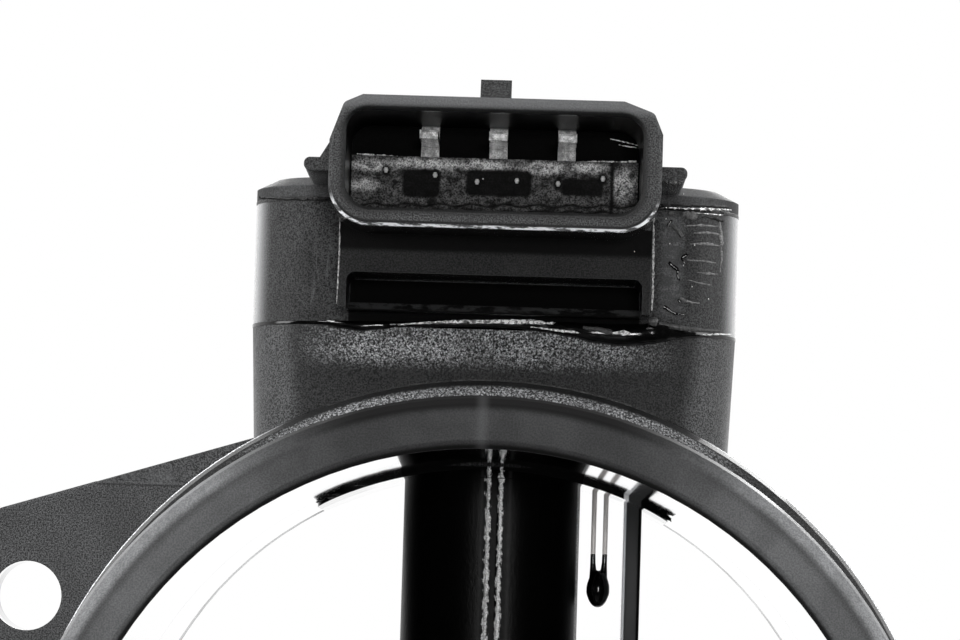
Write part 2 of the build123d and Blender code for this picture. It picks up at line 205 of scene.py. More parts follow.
# effects that several finishes share
def makeMouldGrain():  # dense fine grain, bright glints in it, and a wide mottle
    tree, given, out = newGroup(
        "mouldGrain",
        [("Vector", "Vector", None), ("Size", "Float", 0.16), ("Glints", "Float", 0.5)],
        [("Height", "Float"), ("Shade", "Float"), ("Glint", "Float"), ("Mottle", "Float")],
    )
    scale = calc("DIVIDE", 1 / mm, given["Size"])
    fine = addNode(tree, "ShaderNodeTexNoise", {
        "Vector": given["Vector"], "Scale": scale, "Detail": 1.5, "Roughness": 0.6})
    cells = addNode(tree, "ShaderNodeTexVoronoi", {"Vector": given["Vector"], "Scale": scale})
    wide = addNode(tree, "ShaderNodeTexNoise", {
        "Vector": given["Vector"], "Scale": 1 / (4 * mm), "Detail": 4.0, "Roughness": 0.6})
    lots = addNode(tree, "ShaderNodeSeparateColor", {"Color": cells.outputs["Color"]}).outputs
    edge = no(given["Glints"])
    chosen = ramp(lots[0], edge, plus(edge, 0.3))
    core = ramp(cells.outputs["Distance"], 0.6, 0.1)
    feed(out["Height"], plus(fine.outputs[0], times(core, 0.35)))
    feed(out["Shade"], ramp(fine.outputs[0], 0.34, 0.66))
    feed(out["Glint"], both(chosen, core, ramp(lots[1], -0.4, 1.0)))
    feed(out["Mottle"], ramp(wide.outputs[0], 0.35, 0.65))


def makeWornEdge():  # where an edge is sharp, and the normal that rounds it
    tree, given, out = newGroup(
        "wornEdge",
        [("Width", "Float", 0.2 * mm), ("Reach", "Float", 0.3)],
        [("Mask", "Float"), ("Normal", "Vector")],
    )
    rounded = addNode(tree, "ShaderNodeBevel", {"Radius": given["Width"]}, samples=6)
    flat = addNode(tree, "ShaderNodeNewGeometry")
    same = addNode(tree, "ShaderNodeVectorMath", operation="DOT_PRODUCT")
    feed(same.inputs[0], rounded.outputs[0])
    feed(same.inputs[1], flat.outputs["Normal"])
    feed(out["Mask"], ramp(same.outputs["Value"], 1.0, no(given["Reach"])))
    feed(out["Normal"], rounded.outputs[0])


def makeStreaks():  # drawn-out marks, long where the stretch is small
    tree, given, out = newGroup(
        "streaks",
        [("Vector", "Vector", None), ("Stretch", "Vector", (1, 1, 1)), ("Scale", "Float", 1000.0),
         ("Amount", "Float", 0.4)],
        [("Mask", "Float"), ("Height", "Float")],
    )
    drawn = addNode(tree, "ShaderNodeVectorMath", operation="MULTIPLY")
    feed(drawn.inputs[0], given["Vector"])
    feed(drawn.inputs[1], given["Stretch"])
    lines = addNode(tree, "ShaderNodeTexNoise", {
        "Vector": drawn.outputs[0], "Scale": given["Scale"], "Detail": 3.0, "Roughness": 0.65})
    edge = minus(0.85, times(given["Amount"], 0.5))
    feed(out["Mask"], ramp(lines.outputs[0], edge, plus(edge, 0.12)))
    feed(out["Height"], lines.outputs[0])


for makeEffect in (makeMouldGrain, makeWornEdge, makeStreaks):
    makeEffect()
print("shared effects made")


# materials
def dress(shader, **sockets):
    for label, value in sockets.items():
        feed(shader.inputs[label.replace("_", " ")], value)


def newMaterial(name, **fixed):
    material = bpy.data.materials.new(name)
    material.use_nodes = True
    tree = material.node_tree
    shader = tree.nodes["Principled BSDF"]
    dress(shader, **fixed)
    place = addNode(tree, "ShaderNodeTexCoord").outputs["Object"]
    return material, shader, place


def partAxes(place):  # x, y and z of the part, in millimetres
    axes = addNode(treeOf(place), "ShaderNodeSeparateXYZ", {"Vector": place})
    return [calc("DIVIDE", axis, mm) for axis in axes.outputs]


def bump(height, depth, normal=None):
    node = addNode(treeOf(height), "ShaderNodeBump", {"Height": height, "Distance": depth * mm})
    feed(node.inputs["Normal"], normal)
    return node.outputs[0]


def grazing(shader, low, high):  # 1 where the surface is seen edge on
    facing = addNode(shader.id_data, "ShaderNodeLayerWeight", {"Blend": 0.5}).outputs["Facing"]
    return ramp(facing, low, high)


def distanceTo(first, second, centre):
    across = minus(first, centre[0])
    along = minus(second, centre[1])
    squares = plus(times(across, across), times(along, along))
    return calc("SQRT", squares)


def tone(level):
    return grey(level)[0]


def tinted(value, tint=(0.985, 1.0, 1.025)):
    node = addNode(treeOf(value), "ShaderNodeVectorMath", operation="SCALE")
    feed(node.inputs[0], tint)
    feed(node.inputs["Scale"], value)
    return node.outputs[0]


def paint(value, *coats):  # each coat is a mask, its strength and a screen grey
    for mask, strength, level in coats:
        over = level if isinstance(level, bpy.types.NodeSocket) else tone(level)
        value = mixValue(times(mask, strength), value, over)
    return value


def grained(value, grain, contrast, glint=0.0):  # the fine grain's light and dark over a tone
    value = times(value, mixValue(grain["Shade"], 1 - contrast, 1 + contrast))
    return plus(value, times(grain["Glint"], glint)) if glint else value


def about(value, centre, half, soft):  # 1 within half of a centre
    away = calc("ABSOLUTE", minus(value, centre))
    return ramp(away, half + soft, max(half - soft, 0.0))


def boxDistance(x, z, box, corner):  # outside a rounded box given as left, right, low and top
    left, right, low, top = box
    sides = []
    for axis, first, last in ((x, left, right), (z, low, top)):
        away = calc("ABSOLUTE", minus(axis, (first + last) / 2))
        sides.append(minus(away, (last - first) / 2 - corner))
    outer = [calc("MAXIMUM", away, 0.0) for away in sides]
    length = calc("SQRT", plus(*(times(part, part) for part in outer)))
    inner = calc("MINIMUM", calc("MAXIMUM", *sides), 0.0)
    return minus(plus(length, inner), corner)


tube = {  # screen greys, lengths in millimetres
    "boss": 38,
    "ear": 70,
    "body": {"tone": 26, "radius": (39.0, 42.7), "y": (-61.0, -6.2)},
    "paintedLight": {"left": 126, "right": 112, "z": (44.1, 47.6), "x": (-0.4, 14.5)},  # painted light on the boss; x: centre and half width
    # shoulder: painted light near the top, painted shade elsewhere, a painted highlight on its outline
    "shoulder": {"top": 112, "side": 30, "groove": 20, "y": (-35.6, -31.2), "radius": (39.2, 42.6),
                 "dots": (41.0, 41.9), "glint": (42.36, 42.42),
                 "topArc": (0.8, 0.95), "glintArc": (0.42, 0.86)},  # cosine from the top
    "lip": {"top": 50, "side": 80, "outerTop": 1, "outerSide": 118, "y": -62.2,
            "outer": (37.9, 38.7), "ring": (37.7, 38.2), "inner": (35.55, 35.2)},
    "beyond": {"y": (-40.0, -38.0), "radius": (42.55, 42.75)},  # where the boss and the ears begin
    "bossFront": {"y": (-29.5, -30.5), "z": (14.0, 18.0)},
    "sides": (0.97, 0.76),  # cosine from the top where the painted light and the roughness of the sides begin and are full
    "contrast": 0.8,
    "grainSize": 0.15,
    "grainDepth": 0.03,
    "roughness": 0.55,
    "bore": {"radius": 35.02, "roughness": 0.035, "farEdge": (-4.2, -0.15), "hair": (-27.0, 0.5, 0.4),
             "marksFrom": (-2.4, -1.6)},
    "grazing": {"bore": (0.7, 0.85), "hole": (0.45, 0.6), "pale": (0.4, 0.95), "skim": (0.25, 0.8)},
    "boreMarks": ((-24.6, -8.5, 0.5), (26.2, -11.2, 0.5)),  # x, z and radius at the far edge
    "relief": {"x": -34.4, "half": 4.4, "z": 32.75},
    "earHole": (45.09, 21.6, 3.4),  # x, z, radius
    "ejectors": ((-19.4, 41.55, 0.85), (20.35, 41.45, 0.9)),  # x, z, radius
    "parting": 0.04,
    "flow": -0.45,  # the pale line down the lip
}


def earHoles(x, z):  # the second hole is opposite the first
    across, up, reach = tube["earHole"]
    turned = times(z, calc("SIGN", times(x, -1.0)))
    return ramp(distanceTo(calc("ABSOLUTE", x), turned, (across, up)), reach + 0.06, reach + 0.02)


def lipTone(radius, side):  # painted shade on the outer round at the top and painted light at the sides, painted shade on the ring and the inner edge
    lip = tube["lip"]
    face = mixValue(side, tone(lip["top"]), tone(lip["side"]))
    outer = mixValue(side, tone(lip["outerTop"]), tone(lip["outerSide"]))
    face = mixValue(ramp(radius, *lip["outer"]), face, outer)
    return paint(face, (band(radius, *lip["ring"], 0.45), times(side, 0.55), 34),
                 (ramp(radius, *lip["inner"]), 0.95, 6))


def paintedLightTone(x, dots, drawn):  # painted light on the boss under the joint, brighter and drawn out on the left
    half = ramp(x, -1.0, 1.0)
    value = mixValue(half, tone(tube["paintedLight"]["left"]), tone(tube["paintedLight"]["right"]))
    value = times(value, mixValue(dots["Shade"], 0.0, 1.9))
    value = plus(value, times(dots["Glint"], 0.3))
    return times(value, mixValue(times(drawn["Height"], no(half)), 1.0, 1.25))


def shoulderTone(radius, high, dots):  # dotted painted light near the top, a painted highlight on its outline and painted shade elsewhere
    shoulder = tube["shoulder"]
    shine = mixValue(ramp(high, *shoulder["topArc"]), tone(shoulder["side"]), tone(shoulder["top"]))
    shine = times(shine, mixValue(dots["Shade"], 0.1, 1.7))
    shine = paint(tone(shoulder["groove"]), (band(radius, *shoulder["dots"], 0.2), 1.0, shine))
    glint = both(ramp(radius, *shoulder["glint"]), band(high, *shoulder["glintArc"], 0.05))
    return paint(shine, (glint, 1.0, 255))


def makeTubePlastic():
    material, shader, place = newMaterial("tubePlastic", Coat_Roughness=0.06, Specular_IOR_Level=0.3)
    x, y, z = partAxes(place)
    grain = useGroup(place, "mouldGrain", Size=tube["grainSize"], Glints=0.35)
    dots = useGroup(place, "mouldGrain", Size=0.2, Glints=0.75)
    drawn = useGroup(place, "streaks", Stretch=(1, 1, 0.12), Scale=1400.0, Amount=0.6)
    edge = useGroup(place, "wornEdge", Width=0.25 * mm, Reach=0.35)
    radius = distanceTo(x, z, (0.0, 0.0))
    high = calc("DIVIDE", z, radius)  # 1 at the top of the ring
    side = ramp(high, *tube["sides"])
    wall, body, shoulder, relief, seen = (tube[part] for part in ("bore", "body", "shoulder", "relief", "grazing"))
    bore = ramp(radius, wall["radius"] + 0.02, wall["radius"] - 0.01)
    hole = earHoles(x, z)
    cut = either(bore, hole)
    onLip = both(ramp(y, tube["lip"]["y"] + 0.5, tube["lip"]["y"] - 0.3), no(bore))
    onShoulder = both(band(y, *shoulder["y"], 0.2), band(radius, *shoulder["radius"], 0.15))
    onBody = both(band(radius, *body["radius"], 0.05), band(y, *body["y"], 0.2), no(onShoulder))
    beyond = both(ramp(y, *tube["beyond"]["y"]), ramp(radius, *tube["beyond"]["radius"]))
    onBoss = both(beyond, ramp(y, *tube["bossFront"]["y"]), ramp(z, *tube["bossFront"]["z"]))
    # the boss under the joint is painted as lit
    low, top = tube["paintedLight"]["z"]
    lit = both(onBoss, ramp(z, low - 1.0, low + 1.2), ramp(z, top + 0.3, top - 0.2),
               about(x, *tube["paintedLight"]["x"], 4.0))
    value = paint(tone(tube["boss"]), (no(onBoss), 1.0, tube["ear"]), (onBody, 1.0, body["tone"]),
                  (onLip, 1.0, lipTone(radius, side)),
                  (lit, mixValue(grain["Mottle"], 0.65, 1.0), paintedLightTone(x, dots, drawn)),
                  (onShoulder, 1.0, shoulderTone(radius, high, dots)))
    value = times(value, mixValue(grain["Mottle"], 0.86, 1.14))
    value = mixValue(onLip, grained(value, grain, tube["contrast"], 0.03),
                     grained(value, grain, tube["contrast"] * 0.28))
    value = paint(value, (both(edge["Mask"], no(onLip)), 0.3, 96))
    # moulding marks
    rings = either(*(about(distanceTo(x, z, spot), size, 0.035, 0.035) for *spot, size in tube["ejectors"]))
    parting = both(either(onBoss, onShoulder), about(x, tube["parting"], 0.05, 0.05))
    flow = both(onLip, about(x, tube["flow"], 0.4, 0.4))
    onRelief = both(beyond, about(x, relief["x"], relief["half"], 0.6))
    step = both(onRelief, about(z, relief["z"], 0.06, 0.1))
    smudge = both(onRelief, about(z, relief["z"] + 1.0, 0.6, 0.5), grain["Mottle"])
    value = paint(value, (both(rings, onBoss), 0.8, 10), (parting, 0.75, 8), (flow, 0.13, 120),
                  (step, 0.6, 20), (smudge, 0.4, 120))
    # bore: clear and glossy, painted white and mirror-like where seen edge on as a painted reflection, a rough line
    # at its far edge and a hair line
    farEdge = both(band(y, *wall["farEdge"], 0.4), mixValue(grain["Mottle"], 0.6, 1.0))
    marks = either(*(ramp(distanceTo(x, z, spot), size, size * 0.6) for *spot, size in tube["boreMarks"]))
    marks = both(marks, ramp(y, *wall["marksFrom"]))
    hair = times(about(y, *wall["hair"]), 0.2)
    # the bore and the ear holes: painted reflection, white where seen edge on
    clear = mixValue(hole, grazing(shader, *seen["bore"]), grazing(shader, *seen["hole"]))
    skin = paint(tone(14), (clear, 1.0, 255), (farEdge, 1.0, 130), (hair, 1.0, 120), (marks, 1.0, 22))
    dull = both(bore, either(farEdge, hair, marks))
    value = mixValue(cut, value, skin)
    # painted sheen where the boss is seen edge on
    value = paint(value, (both(grazing(shader, *seen["pale"]), onBoss), 0.75, 215))
    skim = both(grazing(shader, *seen["skim"]), either(onBoss, both(side, ramp(high, 0.1, 0.3))))
    rough = mixValue(grain["Mottle"], tube["roughness"] - 0.05, tube["roughness"] + 0.1)
    rough = paint(rough, (onLip, 1.0, mixValue(side, 0.85, 0.6)), (onBody, 1.0, mixValue(side, 0.3, 0.12)))
    rough = mixValue(times(skim, 0.7), rough, 0.14)
    rough = mixValue(cut, rough, mixValue(dull, wall["roughness"], 0.5))
    height = times(grain["Height"], no(either(cut, times(onLip, 0.6))))
    dress(shader, Base_Color=tinted(value),
          Metallic=both(cut, clear, no(dull)),
          Roughness=rough,
          Coat_Weight=either(both(bore, no(dull)), times(skim, 0.6)),
          Normal=bump(height, tube["grainDepth"], edge["Normal"]))
    return material


column = {  # millimetres
    "front": (-26.5, -27.4),  # y over which the face with painted highlights begins
    "lines": ((-0.02, 0.19), (1.14, 0.17)),  # x and half width of the painted highlight lines, and of the painted reflection bands beside them
    "bands": ((-0.62, 0.12), (1.97, 0.14)),
    "middle": (0.56, 0.3),
    "spread": (32.0, -10.0),  # z over which the painted highlights grow
    "break": 33.75,
    "rim": {"x": 8.4, "y": (-18.0, -22.0)},
}


housing = {  # screen greys, lengths in millimetres
    "side": 46,
    "rim": 54,
    "block": 28,
    "lid": 56,
    "contrast": 0.9,
    "grainSize": 0.14,
    "grainDepth": 0.03,
    "roughness": 0.55,
    "front": -31.0,  # y of the module's front and of the block's
    "blockFront": -37.5,
    "faces": {"left": ((-18.4, 3.3, 0.4), (49.2, 58.0, 0.8)),  # centre, half and soft in x; low, high and soft in z
              "right": ((18.8, 3.6, 0.6), (49.0, 58.6, 0.6))},
    "cavity": {"x": (-13.5, 12.95), "z": (56.8, 65.65), "front": -44.9},
    "core": {"x": 13.4, "z": (46.0, 51.7), "front": -37.3},
    "step": {"y": -33.0, "z": (48.75, 49.45)},  # the ledge at the core's foot
    "blockHalf": 14.4,
    "shadow": 53.75,  # where the painted shadow begins on the beam under the shell
    "under": {"x": (-0.2, 14.6), "z": (54.0, 56.6)},  # the shell's underside, painted in shade
    "rimStart": (-44.3, -45.2),  # y
    "hole": ((-13.48, 12.92, 56.85, 65.6), 2.1),  # the rim's inner and outer outline, with their corners
    "shell": ((-14.95, 14.65, 55.25, 70.0), 3.7),
    "lowerRim": (58.2, 56.8),  # z over which the lower rim and the crown begin
    "crown": (65.2, 66.2),
    "rimLines": {"glint": (-0.3, -0.2), "groove": (-0.4, 0.1, 0.06), "inside": (0.75, 0.1)},  # distances from the outlines for the painted highlight, the painted shade line and the painted shade inside
    "sides": (-30.99, -2.0),  # y
    "grazing": {"pale": (0.4, 0.95), "skim": (0.25, 0.85)},
    "plugTop": 34.8,
    "plugFoot": {"x": (0.3, 8.4), "y": (-28.0, -28.3)},  # above the column, with its painted highlight lines
    "postZone": {"z": (33.0, 32.4), "y": (-18.0, -19.0)},
    "post": ((12.5, 12.95, 255), (13.0, 14.1, 66)),  # from x, to x, screen grey
}


def makeHousingPlastic():
    material, shader, place = newMaterial("housingPlastic", Coat_Roughness=0.08, Specular_IOR_Level=0.3)
    x, y, z = partAxes(place)
    grain = useGroup(place, "mouldGrain", Size=housing["grainSize"], Glints=0.3)
    edge = useGroup(place, "wornEdge", Width=0.2 * mm, Reach=0.3)
    drawn = useGroup(place, "streaks", Stretch=(1, 1, 0.12), Scale=2600.0, Amount=0.6)
    nicks = useGroup(place, "streaks", Stretch=(1, 1, 0.25), Scale=1300.0, Amount=0.25)
    dash = useGroup(place, "streaks", Stretch=(0.4, 1, 1), Scale=1500.0, Amount=0.85)
    wiped = useGroup(place, "streaks", Stretch=(0.3, 1, 1), Scale=1100.0, Amount=0.8)
    cavity, core, step, below, lines = (housing[part] for part in ("cavity", "core", "step", "under", "rimLines"))
    # zones
    # the cavity and the core are painted near black as shade
    inCavity = both(band(x, *cavity["x"], 0.06), band(z, *cavity["z"], 0.06),
                    ramp(y, cavity["front"] - 0.5, cavity["front"] + 0.7))
    inCore = both(about(x, 0.0, core["x"], 0.08), band(z, *core["z"], 0.08),
                  ramp(y, core["front"], core["front"] + 0.6))
    onStep = both(about(x, 0.0, core["x"], 0.1), band(z, *step["z"], 0.1), about(y, step["y"], 0.2, 0.1))
    onRim = ramp(y, *housing["rimStart"])
    onBlock = both(about(x, 0.0, housing["blockHalf"], 0.1), about(y, housing["blockFront"], 0.3, 0.2))
    onFront = about(y, housing["front"], 0.3, 0.2)
    leftFace, rightFace = (both(about(x, *across), onFront, band(z, *up)) for across, up in housing["faces"].values())
    plug = ramp(z, housing["plugTop"] + 0.1, housing["plugTop"] - 0.1)
    onPost = both(ramp(z, *housing["postZone"]["z"]), ramp(y, *housing["postZone"]["y"]))
    foot = both(plug, about(x, *housing["plugFoot"]["x"], 0.1), ramp(y, *housing["plugFoot"]["y"]))
    # painted sheen where the sides are seen edge on
    pale = both(grazing(shader, *housing["grazing"]["pale"]), band(y, *housing["sides"], 0.01))
    # the rim: a black line of painted shade and a broken painted highlight below, painted shade inside, painted light
    # on the crown
    outer = boxDistance(x, z, *housing["shell"])
    lower = both(onRim, ramp(z, *housing["lowerRim"]))
    glint = both(lower, ramp(outer, *lines["glint"]))
    groove = both(lower, about(outer, *lines["groove"]))
    inside = both(onRim, ramp(boxDistance(x, z, *housing["hole"]), *lines["inside"]))
    crown = both(onRim, ramp(z, *housing["crown"]))
    # painted shadow on the block under the shell, painted shade on the shell's underside
    shadow = both(onBlock, ramp(z, housing["shadow"] - 0.25, housing["shadow"] + 0.3))
    under = both(ramp(y, -44.6, -43.9), about(x, *below["x"], 0.3), band(z, *below["z"], 0.3), ramp(y, -37.0, -37.6))
    value = paint(tone(housing["side"]), (onRim, 1.0, housing["rim"]), (onBlock, 1.0, housing["block"]))
    value = times(value, mixValue(grain["Mottle"], 0.8, 1.2))
    value = grained(value, grain, housing["contrast"], 0.02)
    value = paint(value, (both(leftFace, drawn["Mask"]), 0.3, 104), (both(leftFace, nicks["Mask"]), 0.8, 18),
                  (both(edge["Mask"], no(plug)), 0.45, 104), (pale, 0.75, 215),
                  (rightFace, 0.5, 84), (both(rightFace, wiped["Mask"], grain["Shade"]), 0.45, 120),
                  (shadow, 0.92, 8), (under, 0.9, 5), (crown, 0.5, 110), (inside, 0.9, 8), (groove, 0.9, 8),
                  (glint, mixValue(dash["Mask"], 0.05, 1.0), 245), (inCavity, 1.0, 3), (inCore, 1.0, 1),
                  (both(onStep, dash["Mask"]), 0.5, 60), (plug, 1.0, 5))
    # the column's painted highlight lines go on over the plug's foot
    for centre, half in column["lines"]:
        value = paint(value, (both(foot, about(x, centre, half * 0.7, 0.08)), grain["Shade"], 255))
    for fromX, toX, level in housing["post"]:
        value = paint(value, (both(onPost, band(x, fromX, toX, 0.06)), 1.0, level))
    skim = grazing(shader, *housing["grazing"]["skim"])
    rough = mixValue(grain["Mottle"], housing["roughness"] - 0.06, housing["roughness"] + 0.08)
    rough = mixValue(either(inCavity, inCore, shadow), rough, 0.95)
    rough = mixValue(times(skim, 0.8), rough, 0.16)
    bright = both(plug, no(either(onPost, foot)))
    height = times(grain["Height"], no(plug))
    dress(shader, Base_Color=tinted(value),
          Roughness=mixValue(bright, rough, 0.06),
          Coat_Weight=either(bright, both(skim, no(either(inCavity, inCore)))),
          Normal=bump(height, housing["grainDepth"], edge["Normal"]))
    return material


def makeLidPlastic():
    material, shader, place = newMaterial("lidPlastic", Coat_Roughness=0.1, Specular_IOR_Level=0.3)
    grain = useGroup(place, "mouldGrain", Size=0.16, Glints=0.35)
    edge = useGroup(place, "wornEdge", Width=0.25 * mm, Reach=0.3)
    marks = useGroup(place, "streaks", Stretch=(1, 0.2, 1), Scale=500.0, Amount=0.3)
    value = mixValue(grain["Mottle"], tone(housing["lid"] - 10), tone(housing["lid"] + 8))
    value = grained(value, grain, 0.35, 0.03)
    value = paint(value, (edge["Mask"], 0.4, 110), (marks["Mask"], 0.3, 90))
    dress(shader, Base_Color=tinted(value),
          Roughness=mixValue(grain["Mottle"], 0.6, 0.75),
          Coat_Weight=times(grazing(shader, 0.8, 1.0), 0.15),
          Normal=bump(grain["Height"], 0.03, edge["Normal"]))
    return material


def makeColumnPlastic():
    material, shader, place = newMaterial("columnPlastic", Specular_IOR_Level=0.06)
    x, y, z = partAxes(place)
    rough = useGroup(place, "streaks", Stretch=(1, 1, 0.5), Scale=3000.0, Amount=0.5)
    fine = useGroup(place, "mouldGrain", Size=0.14, Glints=0.5)
    front = ramp(y, *column["front"])
    shift = times(minus(rough["Height"], 0.5), 0.9)
    grow = ramp(z, *column["spread"])
    value = tone(4)
    # painted highlights: two bright lines down the front
    for centre, half in column["lines"]:
        away = calc("ABSOLUTE", minus(x, centre))
        away = plus(away, shift)
        reach = plus(half, times(grow, 0.1))
        line = both(front, ramp(minus(away, reach), 0.08, -0.08))
        line = both(line, mixValue(fine["Shade"], 0.5, 1.0))
        value = paint(value, (line, 1.0, 255))
    # painted reflection: grey bands beside the lines and a lighter middle
    for centre, half in column["bands"]:
        value = paint(value, (both(front, about(x, centre, half, 0.15)), 0.55, 44))
    value = paint(value, (both(front, about(x, *column["middle"], 0.15), grow), 0.5, 60),
                  (both(front, about(z, column["break"], 0.03, 0.05)), 1.0, 2))
    # painted highlight down the right corner
    rim = both(about(x, column["rim"]["x"], 0.09, 0.08), ramp(y, *column["rim"]["y"]))
    value = paint(value, (rim, mixValue(fine["Shade"], 0.2, 1.0), 225))
    dress(shader, Base_Color=tinted(value, (1, 1, 1)),
          Roughness=mixValue(rough["Height"], 0.25, 0.4),
          Normal=bump(rough["Height"], 0.02))
    return material


def makeAdhesive():
    material, shader, place = newMaterial("blackAdhesive")
    pulls = useGroup(place, "streaks", Stretch=(0.12, 1, 1.2), Scale=1500.0, Amount=0.5)
    lumps = useGroup(place, "mouldGrain", Size=0.6, Glints=0.3)
    dress(shader, Base_Color=mixColor(lumps["Mottle"], grey(3), grey(9)),
          Roughness=mixValue(pulls["Height"], 0.06, 0.22),
          Normal=bump(pulls["Height"], 0.03))
    return material


tin = {"leg": (-33.5, -34.0), "blade": ((-34.25, -34.4), (-41.3, -41.2)), "shaded": (65.35, 65.6)}  # y, y, z


def makeTin():
    material, shader, place = newMaterial("tinnedMetal")
    y, z = partAxes(place)[1:]
    blots = useGroup(place, "mouldGrain", Size=0.7, Glints=0.6)
    fine = useGroup(place, "mouldGrain", Size=0.13, Glints=0.5)
    leg = ramp(y, *tin["leg"])
    blade = both(*(ramp(y, *ends) for ends in tin["blade"]))
    value = mixValue(blots["Shade"], tone(175), tone(255))
    value = times(value, mixValue(fine["Shade"], 0.6, 1.1))
    value = paint(value, (both(blots["Glint"], leg), 0.6, 240), (ramp(z, *tin["shaded"]), 0.85, 30))
    dress(shader, Base_Color=tinted(value, (1, 1, 1)),
          Metallic=mixValue(blade, 0.0, 1.0),
          Roughness=mixValue(blade, mixValue(blots["Shade"], 0.4, 0.65), 0.12),
          Normal=bump(blots["Height"], 0.04))
    return material


def makeDrawnMetal(name, stretch, scale, amount, first, second, rough, **fixed):  # marks along one direction
    material, shader, place = newMaterial(name, **fixed)
    drawn = useGroup(place, "streaks", Stretch=stretch, Scale=scale, Amount=amount)
    dress(shader, Base_Color=mixColor(drawn["Height"], first, second),
          Roughness=mixValue(drawn["Height"], *rough))
    return material


def makePlain(name, size, greys, carrier, rough, depth=None, **fixed):  # mottled grey; carrier sets the roughness
    material, shader, place = newMaterial(name, **fixed)
    grain = useGroup(place, "mouldGrain", Size=size, Glints=0.3)
    dress(shader, Base_Color=mixColor(grain["Mottle"], *(grey(level) for level in greys)),
          Roughness=mixValue(grain[carrier], *rough))
    if depth:
        feed(shader.inputs["Normal"], bump(grain["Height"], depth))
    return material


finishes = {
    "tube_plastic": makeTubePlastic(),
    "housing_plastic": makeHousingPlastic(),
    "lid_plastic": makeLidPlastic(),
    "column_plastic": makeColumnPlastic(),
    "black_adhesive": makeAdhesive(),
    "seal_rubber": makePlain("sealRubber", 0.2, (22, 32), "Shade", (0.5, 0.65), 0.02),
    "tinned_metal": makeTin(),
    "lead_wire": makeDrawnMetal("leadWire", (1, 1, 0.1), 5000.0, 0.4, (1.0, 0.96, 0.94), (0.8, 0.76, 0.74),
                                (0.2, 0.4), Metallic=0.1),
    "bead_coat": makePlain("beadCoat", 0.8, (2, 5), "Mottle", (0.12, 0.2)),
    "plate_metal": makeDrawnMetal("plateMetal", (0.05, 1, 1), 2500.0, 0.5, grey(190), grey(210),
                                  (0.25, 0.45), Metallic=1.0),
    "fired_ceramic": makePlain("firedCeramic", 0.12, (214, 228), "Shade", (0.5, 0.7)),
    "chip_body": makePlain("chipBody", 0.1, (30, 44), "Shade", (0.5, 0.7)),
    "filling_gel": makePlain("fillingGel", 0.5, (150, 180), "Mottle", (0.08, 0.16), Transmission_Weight=0.6),
}
for name, node in nodes.items():
    for slot in node.material_slots:
        slot.material = finishes[slot.material.name.split(".")[0]]
print("finishes on", len(nodes), "nodes")


def newObject(name, mesh, material=None):
    made = bpy.data.objects.new(name, mesh)
    scene.collection.objects.link(made)
    if material:
        mesh.materials.append(material)
    return made


def settle(made):  # the modifiers' result becomes the object's own mesh
    source = made.data
    result = bpy.data.meshes.new_from_object(made.evaluated_get(bpy.context.evaluated_depsgraph_get()))
    made.modifiers.clear()
    made.data = result
    bpy.data.meshes.remove(source)
    result.name = made.name
    return result


def flatMaterial(name, level, roughness, spread=0.35, size=0.2, depth=0.03, **fixed):  # a grained plain tone
    material, shader, place = newMaterial(name, **fixed)
    grain = useGroup(place, "mouldGrain", Size=size, Glints=0.3)
    dress(shader, Base_Color=tinted(grained(tone(level), grain, spread), (1, 1, 1)),
          Roughness=mixValue(grain["Mottle"], roughness * 0.8, roughness * 1.2),
          Normal=bump(grain["Height"], depth))
    return material


